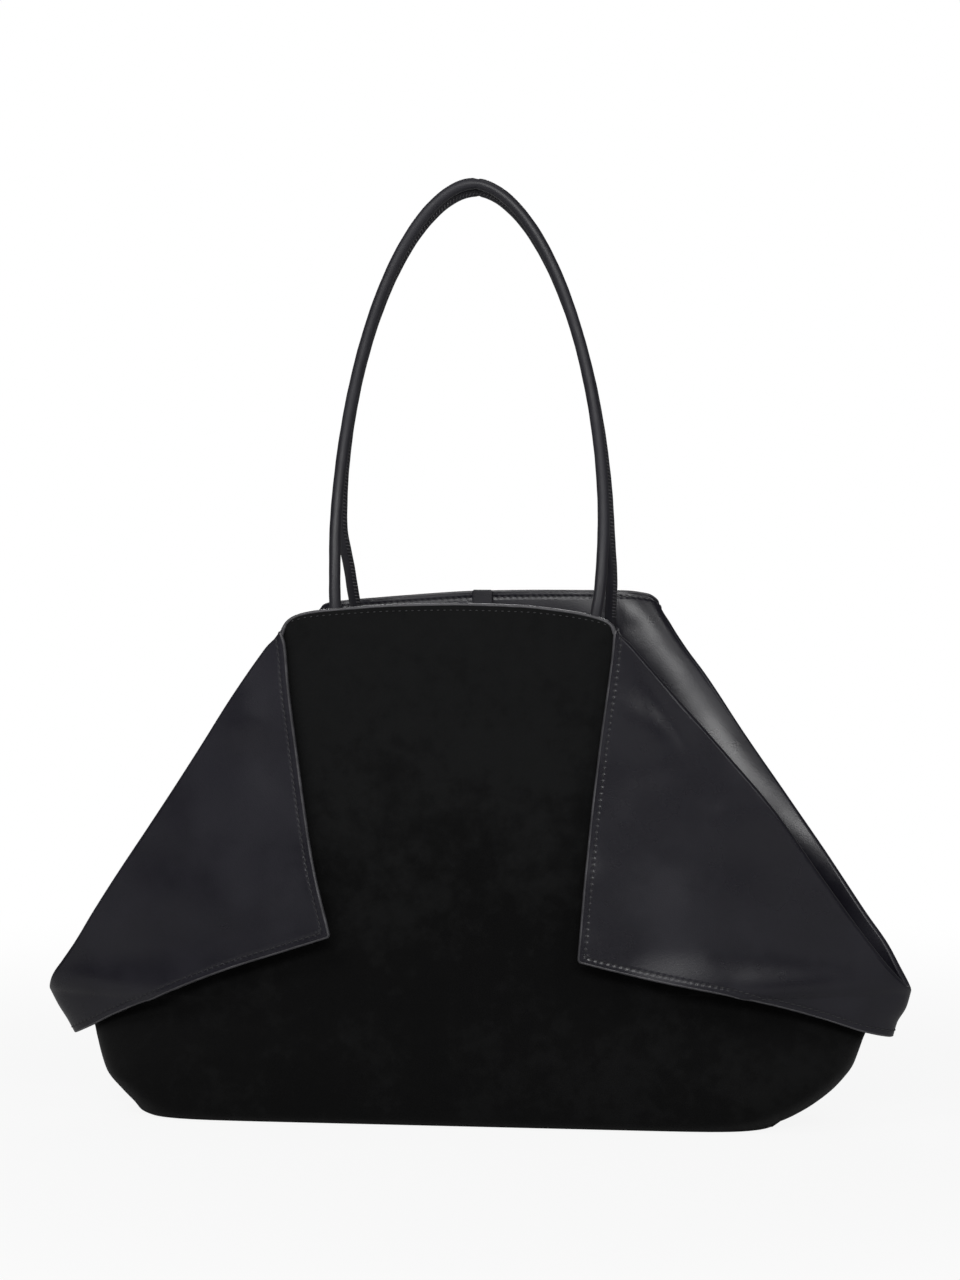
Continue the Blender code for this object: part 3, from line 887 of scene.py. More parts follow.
LEFT_TIP, RIGHT_TIP = (0.0720, 0.2595), (0.0805, 0.2605)
LOW_LEFT = ((0.000, 0.1964), (0.003, 0.2020), (0.007, 0.2050), (0.015, 0.2133), (0.0245, 0.2232),
            (0.034, 0.2284), (0.043, 0.2320), (0.052, 0.2348), (0.058, 0.2385), (0.064, 0.2445),
            (0.069, 0.2525), LEFT_TIP)
LOW_RIGHT = ((0.000, 0.1834), (0.003, 0.1870), (0.007, 0.1956), (0.015, 0.2089), (0.0245, 0.2204),
             (0.034, 0.2280), (0.043, 0.2316), (0.052, 0.2348), (0.062, 0.2400), (0.072, 0.2500),
             RIGHT_TIP)
CRESTS = {
    (Side.LEFT, Face.FRONT): (
        (0.0805, 0.2553), (0.0900, 0.2480), (0.1006, 0.2400), (0.120, 0.2272), (0.157, 0.2016),
        (0.194, 0.1756), (0.231, 0.1506), (0.268, 0.1256), (0.283, 0.1144), (0.2935, 0.1058)),
    (Side.LEFT, Face.BACK): (
        (0.0820, 0.2545), (0.0920, 0.2485), (0.104, 0.2420), (0.1215, 0.2295), (0.157, 0.2050),
        (0.192, 0.1795), (0.2275, 0.1535), (0.263, 0.1290), (0.278, 0.1190), (0.293, 0.1100),
        (0.3000, 0.1055)),
    (Side.RIGHT, Face.FRONT): (
        (0.1000, 0.2450), (0.1465, 0.2122), (0.189, 0.1832), (0.228, 0.1506), (0.269, 0.1150),
        (0.296, 0.0922)),
    (Side.RIGHT, Face.BACK): (
        (0.0900, 0.2545), (0.104, 0.2460), (0.1215, 0.2328), (0.157, 0.2076), (0.192, 0.1816),
        (0.2275, 0.1556), (0.263, 0.1311), (0.278, 0.1196), (0.293, 0.1096), (0.3040, 0.1040)),
}


def make_outlines() -> dict[tuple[Side, Face], Outline]:
    """The four side edges, as measured from the photo.

    Returns:
        An outline for each end and panel.
    """
    lows = {Side.LEFT: LOW_LEFT, Side.RIGHT: LOW_RIGHT}
    made = {}
    for (side, face), crest in CRESTS.items():
        tip = lows[side][-1]
        made[side, face] = Outline(Profile(lows[side]), Profile((tip,) + crest), tip[0],
                                   crest[-1][0])
    return made


@dataclass(frozen=True)
class BodyShape:
    """The bag's outer surface as a depth over every length and height.

    Box and lens sizes are those of the section low down and higher up: how square it is, and how
    steeply it falls away at its ends. Each of the waves has a size, its turns along the bag and up
    it, its shift, and the way it is shifted on the back.
    """

    outlines: dict[tuple[Side, Face], Outline] = field(default_factory=make_outlines)
    foot: float = 0.0006
    roll: float = 0.009
    base_depth: float = 0.114
    mouth_depth: float = 0.117
    mouth_height: float = 0.311
    belly: float = 0.0035
    blunt: float = 0.10
    box_height: float = 0.010
    box_power: float = 10.0
    box_edge: float = 0.33
    lens_height: float = 0.068
    lens_power: float = 1.5
    lens_edge: float = 0.70
    flare: float = 0.0085
    flare_reach: float = 0.033
    top_flare: float = 0.0020
    wave: float = 0.0011
    calm_foot: tuple[float, float] = (0.012, 0.060)
    calm_mouth: tuple[float, float] = (0.24, 0.30)
    pleat: float = 0.45
    pleat_place: float = 0.047
    pleat_half: float = 0.006
    crease: float = 0.0005
    crease_reach: float = 0.015
    waves: tuple[tuple[float, ...], ...] = (
        (0.50, 23, 9, 0.0, 1), (0.35, 41, -26, 1.3, 1), (0.22, 73, 38, 4.1, -1))
    front_mouth: Profile = Profile((
        (-1.0, 0.2935), (-0.994, 0.2962), (-0.98, 0.2988), (-0.95, 0.3015), (-0.90, 0.3038),
        (-0.82, 0.3056), (-0.68, 0.3072), (-0.35, 0.3098), (0.0, 0.3107), (0.39, 0.3098),
        (0.68, 0.3070), (0.87, 0.3036), (0.95, 0.3008), (0.98, 0.2986), (1.0, 0.2960)))
    back_mouth: Profile = Profile((
        (-1.0, 0.3000), (-0.97, 0.3030), (-0.90, 0.3048), (-0.53, 0.3088), (0.0, 0.3125),
        (0.42, 0.3131), (0.78, 0.3130), (0.93, 0.3110), (0.98, 0.3078), (1.0, 0.3040)))

    def at_side(self, face: Face, length: Rows, measure: Callable) -> Rows:
        """A measure of a panel's side edges, each taken on its own half of the bag."""
        left, right = (measure(self.outlines[side, face]) for side in Side)
        return np.where(length < 0, left, right)

    def middle(self, height: Rows) -> Rows:
        """Half depth in the bag's middle, with its rolled foot and slight belly.

        Args:
            height: Heights.

        Returns:
            Half depth at each height.
        """
        share = height / self.mouth_height
        depth = (self.base_depth + (self.mouth_depth - self.base_depth) * share) / 2
        depth = depth + self.belly * np.sin(math.pi * np.clip(share, 0, 1))
        lift = np.clip(self.roll - height, 0.0, self.roll)
        return depth - self.roll + np.sqrt(self.roll**2 - lift**2)

    def ripple(self, face: Face, length: Rows, height: Rows) -> Rows:
        """Slow waves of soft suede, quiet at the mouth, the foot and the sides.

        Args:
            face: Which panel.
            length: Signed places along the bag.
            height: Heights of the same places.

        Returns:
            How far the surface stands out at each place.
        """
        quiet = smooth(height, *self.calm_foot) * (1 - smooth(height, *self.calm_mouth))
        turn = 0.0 if face is Face.FRONT else 1.9
        waves = sum(size * np.sin(x * length + z * height + shift + way * turn)
                    for size, x, z, shift, way in self.waves)
        off = length - self.pleat_place - 0.05 * (height - 0.12)
        pleat = np.exp(-(off / self.pleat_half) ** 2)
        pleat = -self.pleat * pleat * smooth(height, 0.02, 0.08) * (1 - smooth(height, 0.10, 0.16))
        waves = self.wave * quiet * (waves + pleat)
        if face is Face.BACK:
            aside, up = np.abs(length) - ANCHOR[0], height - ANCHOR[1]
            far = np.hypot(aside, up)
            creases = np.cos(5 * np.arctan2(up, aside) + 0.6) * far / 0.010
            waves = waves + self.crease * creases * np.exp(-(far / self.crease_reach) ** 2)
        return waves

    def depth(self, face: Face, length: Rows, height: Rows) -> Rows:
        """Half depth of the outer surface.

        Args:
            face: Which panel.
            length: Signed places along the bag.
            height: Heights of the same places.

        Returns:
            Half depth at each place, at the fold's own depth beyond the panel's side.
        """
        end = self.at_side(face, length, lambda edge: edge.length(height))
        fold = self.at_side(face, length, lambda edge: edge.depth(height))
        tip = self.at_side(face, length, lambda edge: edge.tip)
        share = np.clip(np.abs(length) / end, 0.0, 1.0)
        share = (np.sqrt(share**2 + self.blunt**2) - self.blunt) / (
            math.sqrt(1 + self.blunt**2) - self.blunt)
        lens = smooth(height, self.box_height, self.lens_height)
        power = self.box_power * (self.lens_power / self.box_power) ** lens
        edge = self.box_edge * (self.lens_edge / self.box_edge) ** lens
        edge = edge + (1.0 - edge) * smooth(height - tip, 0.0, 0.030)
        fall = np.clip(1 - share**power, 0.0, 1.0) ** edge
        waves = self.ripple(face, length, height) * np.clip(fall * 3, 0.0, 1.0)
        flare = 0.0
        if face is Face.BACK:
            inward = np.clip((end - np.abs(length)) / self.flare_reach, 0.0, 1.0)
            flare = self.flare * (1 - inward) ** 2 * smooth(height - tip, 0.045, 0.150)
            flare = flare + self.top_flare * smooth(height, 0.290, 0.313)
        return fold + (self.middle(height) - fold) * fall + waves + flare

    def way_out(self, face: Face, length: Rows, height: Rows) -> Rows:
        """The way out of the body's outer surface."""
        return way_out(face, length, height, lambda x, z: self.depth(face, x, z) ** 2)

    def inside(self, face: Face, length: Rows, height: Rows, wall: float) -> Rows:
        """Points of the inner surface, a wall's thickness inside the outer one.

        Args:
            face: Which panel.
            length: Signed places along the bag.
            height: Heights at which the section is read.
            wall: The thickness.

        Returns:
            World points, which stay on their own side of the bag's middle plane.
        """
        end = self.at_side(face, length, lambda edge: edge.length(height))
        tip = self.at_side(face, length, lambda edge: edge.tip)
        way = self.way_out(face, length, height)
        near_tip = 1 - smooth(np.abs(height - tip), 0.004, 0.030)
        near_end = smooth(np.abs(length) / end, 0.88, 1.0)
        quiet = np.maximum(near_tip * near_end, 1 - smooth(height, 0.012, 0.030))
        way = unit(way * np.stack([np.ones_like(quiet), np.ones_like(quiet), 1 - quiet], -1))
        points = np.stack([length, face.value * self.depth(face, length, height), height], -1)
        points = points - way * wall
        points[..., 1] = face.value * np.maximum(face.value * points[..., 1], 0.00015)
        return points


@dataclass
class Shell:
    """Front and back panels: suede outside, leather lining inside, one bead along the mouth."""

    shape: BodyShape
    wardrobe: Wardrobe
    sewing: Sewing
    columns: int = 161
    bead: float = 0.0010
    lining_shift: float = 0.0022
    trim: float = 0.0025
    inset: float = 0.0032
    floor: float = 0.0045
    floor_rows: int = 5
    stitch: Seam = Seam()
    dots: Seam = Seam(length=0.0017, thick=0.00060, slant=0.05)

    def side_heights(self, side: Side, face: Face) -> Rows:
        """Heights of the rows at a side edge: the foot's roll, the wall, the neck and the fold.

        Args:
            side: Which end.
            face: Which panel.

        Returns:
            The heights, going up.
        """
        outline = self.shape.outlines[side, face]
        turn = np.linspace(0, math.pi / 2, 9)
        roll = self.shape.foot + (self.shape.roll - self.shape.foot) * (1 - np.cos(turn))
        wall = np.linspace(self.shape.roll, outline.tip, 36)[1:]
        fold = outline.tip + (outline.shoulder - outline.tip) * np.linspace(0, 1, 81)[1:] ** 2
        return np.concatenate([roll, wall, fold])

    def rows(self, face: Face) -> tuple[Rows, Rows, Rows]:
        """Places of a panel's grid.

        Args:
            face: Which panel.

        Returns:
            Lengths, true heights, and the heights at which the section is read.
        """
        crowd = np.linspace(-1, 1, self.columns)
        shares = np.sign(crowd) * (1 - (1 - np.abs(crowd)) ** 1.35)
        left = self.side_heights(Side.LEFT, face)[:, None]
        right = self.side_heights(Side.RIGHT, face)[:, None]
        height = left + (right - left) * (shares + 1) / 2
        length = shares * self.shape.at_side(face, shares, lambda edge: edge.length(height))
        mouth = self.shape.front_mouth if face is Face.FRONT else self.shape.back_mouth
        lift = (mouth(shares) - height[-1]) * smooth(height, height[-1] - 0.070, height[-1])
        return length, height + lift, height

    def ply(self, face: Face, inward: float) -> Rows:
        """Points of a panel's sheet at a distance inside the outer surface.

        Args:
            face: Which panel.
            inward: The distance.

        Returns:
            Rows by columns by 3.
        """
        length, height, level = self.rows(face)
        if inward == 0.0:
            depth = face.value * self.shape.depth(face, length, level)
            return np.stack([length, depth, height], -1)
        inner = self.shape.inside(face, length, level, inward)
        inner[..., 2] += height - level
        return inner

    def mouth_run(self, middle: Rows, starts: tuple[Rows, Rows]) -> Rows:
        """The mouth bead's line, led at both ends into the wings' free edges.

        Args:
            middle: The line between suede and lining.
            starts: A point near the top of the left and of the right wing's free edge.

        Returns:
            Evenly spaced points.
        """
        run = along(middle)
        kept = middle[(run > self.trim) & (run < run[-1] - self.trim)]
        line = even(np.concatenate([starts[0][None], kept, starts[1][None]]), 300)
        soften(line, 4)
        return line

    def build(self, face: Face, starts: tuple[Rows, Rows]) -> None:
        """Makes one panel with its lining, bead and stitches.

        Args:
            face: Which panel.
            starts: A point near the top of the left and of the right wing's free edge.
        """
        name = face.word
        outer, inner = self.ply(face, 0.0), self.ply(face, self.lining_shift)
        skin = add_grid(f"{name}_suede_panel", outer, flip=face is Face.BACK)
        self.wardrobe.dress(skin, Look.SUEDE)
        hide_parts(f"{name}_panel")
        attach(skin, "shell")
        inner = inner[self.floor_rows:]
        inner[..., 2] = np.maximum(inner[..., 2], self.floor)
        lining = add_grid(f"{name}_inner_leather", inner, flip=face is Face.FRONT,
                          seam=self.mouth_map(inner))
        self.wardrobe.dress(lining, Look.LINING)
        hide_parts(f"{name}_lining")
        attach(lining, "shell")
        run = self.mouth_run((outer[-1] + inner[-1]) / 2, starts)
        up = np.broadcast_to(np.array([0.0, 0.0, 1.0]), run.shape)
        bead = add_tube(f"{name}_mouth_edge", run, up, self.lining_shift / 2 + 0.00015, self.bead)
        self.wardrobe.dress(bead, Look.EDGE)
        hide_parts(f"{name}_mouth_binding")
        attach(bead, "shell")
        for word, sheet, sign, seam in (("outer", outer, 1, self.dots),
                                        ("inner", inner, -1, self.stitch)):
            line, out = self.stitch_line(face, sheet, sign)
            row = self.sewing.sew(f"{name}_mouth_{word}_stitches", line, out, seam, 11)
            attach(row, "shell")
        LOG.info("%s panel, lining, bead and stitches", name)

    def mouth_map(self, sheet: Rows) -> Rows:
        """A seam map of the mouth's edge: run along it, and distance below it.

        Args:
            sheet: The sheet's points.

        Returns:
            A UV pair for each point.
        """
        run = along(sheet[-1])[None, :] + np.zeros(sheet.shape[:2])
        below = np.linalg.norm(sheet - sheet[-1][None], axis=-1)
        return np.stack([run, below], -1)

    def stitch_line(self, face: Face, sheet: Rows, sign: int) -> tuple[Rows, Rows]:
        """A line just under the mouth's edge on one sheet, with its outward ways.

        Args:
            face: Which panel.
            sheet: The sheet's points.
            sign: 1 for a row on the outside, -1 for one on the inside.

        Returns:
            The line, and its ways.
        """
        below = np.linalg.norm(sheet - sheet[-1][None], axis=-1)[::-1]
        inset = np.array([self.inset])
        points = [read(sheet[::-1, column], below[:, column], inset)[0]
                  for column in range(4, sheet.shape[1] - 4)]
        line = even(np.array(points), 240)
        way = np.cross(tangents(line), (0, 0, 1))
        way = unit(way) * np.sign(way[:, 1:2]) * face.value * sign
        return line, way


@dataclass(frozen=True)
class WingCut:
    """How one wing is cut: its inner edge, its lower edge and the side line under the tip."""

    inner: Places
    lower: Places
    side: Places


CUTS = {
    Side.LEFT: WingCut(
        inner=((0.1058, 0.2935), (0.1040, 0.2860), (0.1022, 0.2640), (0.0962, 0.2180),
               (0.0872, 0.1600), (0.0760, 0.1145)),
        lower=((0.0760, 0.1145), (0.1000, 0.1064), (0.1370, 0.0937), (0.1810, 0.0757),
               (0.2160, 0.0603), (0.2310, 0.0525), (0.2445, 0.0460)),
        side=((0.2545, 0.0625), (0.2490, 0.0540), (0.2445, 0.0460))),
    Side.RIGHT: WingCut(
        inner=((0.0922, 0.2960), (0.0918, 0.2880), (0.0893, 0.2660), (0.0832, 0.2210),
               (0.0760, 0.1500), (0.0724, 0.1025)),
        lower=((0.0724, 0.1025), (0.1140, 0.0918), (0.1660, 0.0807), (0.2120, 0.0668),
               (0.2350, 0.0580), (0.2500, 0.0536)),
        side=((0.2578, 0.0710), (0.2525, 0.0620), (0.2500, 0.0536))),
}
# Rises and dents of the wings' leather: height, place, half sizes and lean of each.
SWELLS = {
    Side.LEFT: (
        (-0.0011, 0.2220, 0.0780, 0.0090, 0.0240, -0.15),
        (0.0021, 0.1300, 0.2400, 0.0150, 0.0200, -0.20),
        (0.0014, 0.1340, 0.2060, 0.0160, 0.0150, 0.0)),
    Side.RIGHT: (
        (-0.0018, 0.1235, 0.2440, 0.0075, 0.0170, -0.55),
        (0.0017, 0.1055, 0.2440, 0.0120, 0.0170, -0.30),
        (0.0009, 0.0980, 0.1780, 0.0150, 0.0130, 0.0),
        (0.0004, 0.0840, 0.1080, 0.0200, 0.0110, 0.0)),
}


def through(places: Places, count: int) -> Rows:
    """A smooth line of a count of evenly spaced points through measured places.

    Args:
        places: The measured places.
        count: How many points to draw.

    Returns:
        The points.
    """
    spots = np.array(places)
    run = along(spots)
    fine = np.linspace(0, run[-1], 400)
    axes = [Profile(tuple(zip(run, column)))(fine) for column in spots.T]
    return even(np.stack(axes, 1), count)


@dataclass
class Wing:
    """One turned-out corner: a sheet of both plies from the fold's crest to its free edges."""

    side: Side
    face: Face
    shape: BodyShape
    wardrobe: Wardrobe
    sewing: Sewing
    rig: Rig
    crest_rows: int = 110
    side_rows: int = 18
    columns: int = 64
    arc: int = 12
    gap: float = 0.0005
    wall: float = 0.0024
    lining: float = 0.0022
    round: float = 0.0020
    top_stand: float = 0.0010
    corner_stand: float = 0.0114
    hinge_stand: float = 0.0145
    mid_stands: Places = ((0.050, 0.0082), (0.10, 0.0045))
    lower_lead: float = 0.010
    lower_pace: float = 0.45
    inset: float = 0.0034
    edge_half: float = 0.0009
    least_bulge: float = 0.0005
    swell: float = 0.0004
    ease: float = 0.0010
    stitch: Seam = Seam()

    @property
    def name(self) -> str:
        """The wing's name, which is also its body's."""
        return f"{self.face.word}_{self.side.word}_wing"

    @property
    def outline(self) -> Outline:
        """The panel's side edge that the wing folds over."""
        return self.shape.outlines[self.side, self.face]

    @property
    def cut(self) -> WingCut:
        """The wing's cut, with its top and its tip set on this face's own fold.

        Returns:
            Its lines as lengths and heights.
        """
        cut = CUTS[self.side]
        outline = self.outline
        top = (float(outline.length(outline.shoulder)), outline.shoulder)
        tip = (float(outline.length(outline.tip)), outline.tip)
        return WingCut((top,) + cut.inner[1:], cut.lower, (tip,) + cut.side)

    def lines(self) -> tuple[Profile, Profile, Profile, Profile]:
        """Crest, side and inner line as lengths over height, and the lower line as heights.

        Returns:
            The four lines.
        """
        cut, outline = self.cut, self.outline
        fine = np.linspace(outline.tip, outline.shoulder, 60)
        crest = Profile(tuple(zip(fine, outline.length(fine))))
        side, inner = (Profile(tuple((z, x) for x, z in line)) for line in (cut.side, cut.inner))
        return crest, side, inner, Profile(cut.lower)

    def taut(self, length: Rows, height: Rows) -> Rows:
        """Squared half depth of a taut sheet: round at the side line, on the fold at the crest.

        Args:
            length: Half lengths.
            height: Heights of the same places.

        Returns:
            The square at each place, below zero where the sheet has run out.
        """
        outline = self.outline
        crest, side = self.lines()[:2]
        tip, step = outline.tip, 0.0008
        crest_slope = float(crest(tip + step) - crest(tip)) / step
        side_slope = float(side(tip) - side(tip - step)) / step
        pull = outline.shoulder_depth**2 / (outline.shoulder - tip)
        lean = pull / (side_slope - crest_slope)
        above = lean * (line_past(crest, height, tip, outline.shoulder) - length)
        above = above + pull * (height - tip)
        below = lean * (line_past(side, height, self.cut.side[-1][1], tip) - length)
        return np.where(height >= tip, above, below)

    def stand(self, length: Rows, height: Rows) -> Rows:
        """How far the wing stands off the body: nothing at the fold, most at its free edges.

        Args:
            length: Half lengths.
            height: Heights of the same places.

        Returns:
            The distance at each place.
        """
        cut, outline = self.cut, self.outline
        crest, side, inner, lower = self.lines()
        corner, foot, top = cut.inner[-1], cut.lower[-1], cut.inner[0]
        from_crest = line_past(crest, height, outline.tip, outline.shoulder) - length
        from_side = line_past(side, height, foot[1], outline.tip) - length
        from_inner = length - line_past(inner, height, corner[1], top[1])
        over = height - line_past(lower, length, corner[0], foot[0])
        from_lower = self.lower_lead + self.lower_pace * over
        far = np.maximum(both(from_crest, from_side), 0.0)
        near = np.maximum(both(from_inner, from_lower), 0.0)
        share = (far + 1e-6) / (far + near + 2e-6)
        rise = Profile((
            (foot[1] - 0.010, self.hinge_stand), (corner[1], self.corner_stand),
            *((corner[1] + up, stand) for up, stand in self.mid_stands),
            (top[1] - 0.004, self.top_stand)))
        rise = rise(height) * (1 - smooth(length, corner[0] + 0.055, foot[0] + 0.006))
        return rise * (0.6 * share + 0.4 * share * share * (3 - 2 * share))

    def pinch(self, length: Rows, height: Rows) -> Rows:
        """Soft dents and swells of the leather, as heights over the plain sheet.

        Args:
            length: Half lengths.
            height: Heights of the same places.

        Returns:
            The rise at each place.
        """
        swell = (np.sin(71 * length + 43 * height + 0.7) * np.sin(52 * length - 83 * height + 2.1)
                 + 0.5 * np.sin(131 * length - 57 * height + self.side.value)
                 * np.sin(66 * length + 109 * height + 0.4))
        total = self.swell * swell
        for rise, x, z, wide, tall, lean in SWELLS[self.side]:
            across = length - x - lean * (height - z)
            total = total + rise * np.exp(-(across / wide) ** 2 - ((height - z) / tall) ** 2)
        return total

    def square(self, length: Rows, height: Rows) -> Rows:
        """Squared half depth of the wing's underside at half lengths and heights.

        Args:
            length: Half lengths.
            height: Heights of the same places.

        Returns:
            The square at each place.
        """
        length, height = np.asarray(length, float), np.asarray(height, float)
        taut = self.taut(length, height)
        sheet = np.sqrt(np.maximum(taut, 0.0))
        body = self.shape.depth(self.face, self.side.value * length, height) + self.gap
        over = (sheet + body) / 2 + np.sqrt((sheet - body) ** 2 / 4 + self.ease**2)
        clear = smooth(sheet, 0.0, 0.012)
        lift = clear * (over - sheet) + self.stand(length, height)
        lift = lift + clear * self.pinch(length, height)
        return taut + lift * (2 * sheet + lift)

    def ways(self, plan: Rows) -> Rows:
        """The way out of the wing at places of its plan.

        Args:
            plan: Half lengths and heights.

        Returns:
            Unit vectors.
        """
        way = way_out(self.face, plan[..., 0], plan[..., 1], self.square)
        way[..., 0] *= self.side.value
        return way

    def under(self, plan: Rows) -> Rows:
        """World points of the wing's underside at places of its plan."""
        depth = np.sqrt(np.maximum(self.square(plan[..., 0], plan[..., 1]), 0.0))
        return np.stack([self.side.value * plan[..., 0], self.face.value * depth, plan[..., 1]], -1)

    def far_line(self) -> Rows:
        """The wing's outer line in plan: down the crest, then down the side line.

        Returns:
            Half lengths and heights.
        """
        outline = self.outline
        fine = np.linspace(1, 0, 900)
        height = outline.tip + (outline.shoulder - outline.tip) * fine**2
        crest = np.stack([outline.length(height), outline.depth(height), height], 1)
        crest = even(crest, self.crest_rows)[:, (0, 2)]
        return np.concatenate([crest, through(self.cut.side, self.side_rows)[1:]])

    def plan(self) -> Rows:
        """Half lengths and heights of the wing's grid, each row from its free edge outwards.

        Returns:
            Rows by columns by 2.
        """
        far = self.far_line()
        run = along(far) / along(far)[-1]
        near = read(through(self.cut.inner, 500), np.linspace(0, 1, 500), run)
        across = 1 - (1 - np.linspace(0, 1, self.columns)[None, :, None]) ** 1.6
        grid = near[:, None] + (far - near)[:, None] * across
        lower = self.lines()[3]
        drop = lower(grid[-1, :, 0]) - grid[-1, :, 1]
        grid[..., 1] += drop[None] * smooth(run, 0.30, 1.0)[:, None]
        return grid

    def edge_map(self, points: Rows) -> Rows:
        """A seam map of the free edges: run along the nearer one, and distance from it.

        Args:
            points: The sheet's points.

        Returns:
            A UV pair for each point.
        """
        inner, lower = points[:, 0], points[-1, :]
        to_inner = np.linalg.norm(points - inner[:, None], axis=-1)
        to_lower = np.linalg.norm(points - lower[None], axis=-1)
        run_inner = along(inner)[:, None] + np.zeros(points.shape[:2])
        run_lower = along(inner)[-1] + along(lower)[None] + np.zeros(points.shape[:2])
        run = np.where(to_inner < to_lower, run_inner, run_lower)
        return np.stack([run, np.minimum(to_inner, to_lower)], -1)

    def fold(self, inner: Rows, outer: Rows, line: Rows, bulge: Rows) -> Rows:
        """Arcs that carry a sheet over the crest, from an inner line to an outer one.

        Args:
            inner: Points on the bag's side of the fold.
            outer: Points on the wing's side.
            line: The way down the crest at each of them.
            bulge: How far the arcs stand out.

        Returns:
            Rows by arc points by 3, from the outer line to the inner one.
        """
        middle = (inner + outer) / 2
        half = outer - middle
        out = unit(np.cross(line, unit(half)))
        out *= np.where(out @ (0.5 * self.side.value, 0.0, 0.85) < 0, -1, 1)[:, None]
        turn = np.linspace(0, math.pi, self.arc + 1)
        arcs = middle[:, None] + half[:, None] * np.cos(turn)[None, :, None]
        return arcs + out[:, None] * (np.sin(turn)[None, :] * bulge[:, None])[..., None]

    def rim(self, plan: Rows) -> tuple[Rows, Rows, Rows]:
        """The crest's own line.

        Args:
            plan: The wing's plan.

        Returns:
            Its points, the lining's edge under it, and the way down it.
        """
        spots = plan[:self.crest_rows, -1]
        crest = self.under(spots)
        lining = self.shape.inside(self.face, self.side.value * spots[:, 0], spots[:, 1],
                                   self.lining)
        way = tangents(crest)
        way[-1] = unit(np.array([way[-1][0] * 0.1, -self.face.value, 0.0]))
        return crest, lining, way

    def bend(self, piece: bpy.types.Object) -> None:
        """Reads the wing's hinge line and bakes a piece's placement into its mesh; the piece is not
        bent.

        Args:
            piece: The piece.
        """
        place, axis = self.rig.hinge(self.name)
        way = unit(np.cross(axis, (0.0, 1.0, 0.0)))
        way = way * (-self.side.value if way[0] > 0 else self.side.value)
        self.name
        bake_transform(piece)

    def start(self) -> Rows:
        """A point of the free edge just under the shoulder, where the mouth's bead runs into it."""
        spot = self.plan()[1:2, 0]
        return (self.under(spot) + self.ways(spot) * (self.wall / 2))[0]

    def edge_path(self, middle: Rows) -> tuple[Rows, Rows]:
        """The free edge: down the inner edge and out along the lower edge.

        Args:
            middle: Points of the sheet's middle layer.

        Returns:
            The path, and the way out of the sheet's edge at each point.
        """
        path = np.concatenate([middle[:, 0], middle[-1, 1:]])
        inside = np.concatenate([middle[6:7, 20], middle[1:, 3], middle[-4, 1:]])
        out = unit(path - inside)
        run = along(path)
        fine = np.linspace(0, run[-1], 460)
        path, out = read(path, run, fine), read(out, run, fine)
        soften(path, 3)
        soften(out, 3)
        return path, out

    def build(self) -> None:
        """Makes the wing's leather, suede, edge bead and stitches."""
        plan = self.plan()
        under, ways = self.under(plan), self.ways(plan)
        top = under + ways * self.wall
        crest, lining, line = self.rim(plan)
        bulge = smooth(along(crest), 0.001, 0.014)
        bulge = self.least_bulge + (self.round - self.least_bulge) * bulge
        arcs = self.fold(lining, top[:self.crest_rows, -1], line, bulge)
        turned = self.side.value * self.face.value > 0
        leather = add_grid(f"{self.name}_smooth_leather", top, flip=not turned,
                           seam=self.edge_map(top))
        leather = join(leather, add_grid(f"{self.name}_fold", arcs, flip=not turned))
        self.wardrobe.dress(leather, Look.LINING)
        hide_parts(f"{self.name}_leather", f"{self.side.word}_cuff_leather")
        self.bend(leather)
        suede = add_grid(f"{self.name}_suede_back", under, flip=turned)
        self.wardrobe.dress(suede, Look.SUEDE)
        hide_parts(f"{self.name}_suede", f"{self.side.word}_cuff_suede")
        self.bend(suede)
        path, out = self.edge_path((under + top) / 2)
        bead = add_tube(f"{self.name}_edge", path, out, self.wall / 2 + 0.00012, self.edge_half)
        self.wardrobe.dress(bead, Look.EDGE)
        self.bend(bead)
        for word, offset, sign, seed in (("top", self.wall, 1, 3), ("under", 0.0, -1, 5)):
            path, way = self.stitch_path(plan, offset)
            row = self.sewing.sew(f"{self.name}_{word}_stitches", path, way * sign,
                                  self.stitch, seed)
            self.bend(row)
        LOG.info("%s: leather, suede, edge and stitches", self.name)

    def stitch_path(self, plan: Rows, offset: float) -> tuple[Rows, Rows]:
        """A line a stitch's inset from the free edges.

        Args:
            plan: The wing's plan.
            offset: Height over the underside.

        Returns:
            The path on the surface, and its outward ways.
        """
        edge = even(np.concatenate([plan[3:, 0], plan[-1, 1:-1]]), 500)
        way = tangents(edge)
        left = np.stack([-way[:, 1], way[:, 0]], 1)
        inside = plan[plan.shape[0] // 2, plan.shape[1] // 2]
        left *= np.sign(np.sum(left * (inside - edge), 1, keepdims=True))
        line = edge + left * self.inset
        apart = np.linalg.norm(line[:, None] - edge[None], axis=-1).min(1)
        line = even(line[apart > self.inset * 0.97], 420)
        ways = self.ways(line)
        return self.under(line) + ways * offset, ways


# Half spans of the handles' arches on the left and on the right, and their tops.
ARCHES = {Face.FRONT: (0.0813, 0.0803, 0.5595), Face.BACK: (0.0838, 0.0792, 0.5555)}
# Feet of the arches, from the place where a handle starts to move.
LEFT_FOOT = ((-0.0795, 0.3164), (-0.0803, 0.328))
RIGHT_FOOT = ((0.0800, 0.328), (0.0795, 0.3164))


def squared(values: Rows, power: float) -> Rows:
    """Sines or cosines raised to a power with their signs kept, which squares a round line."""
    return np.sign(values) * np.abs(values) ** power


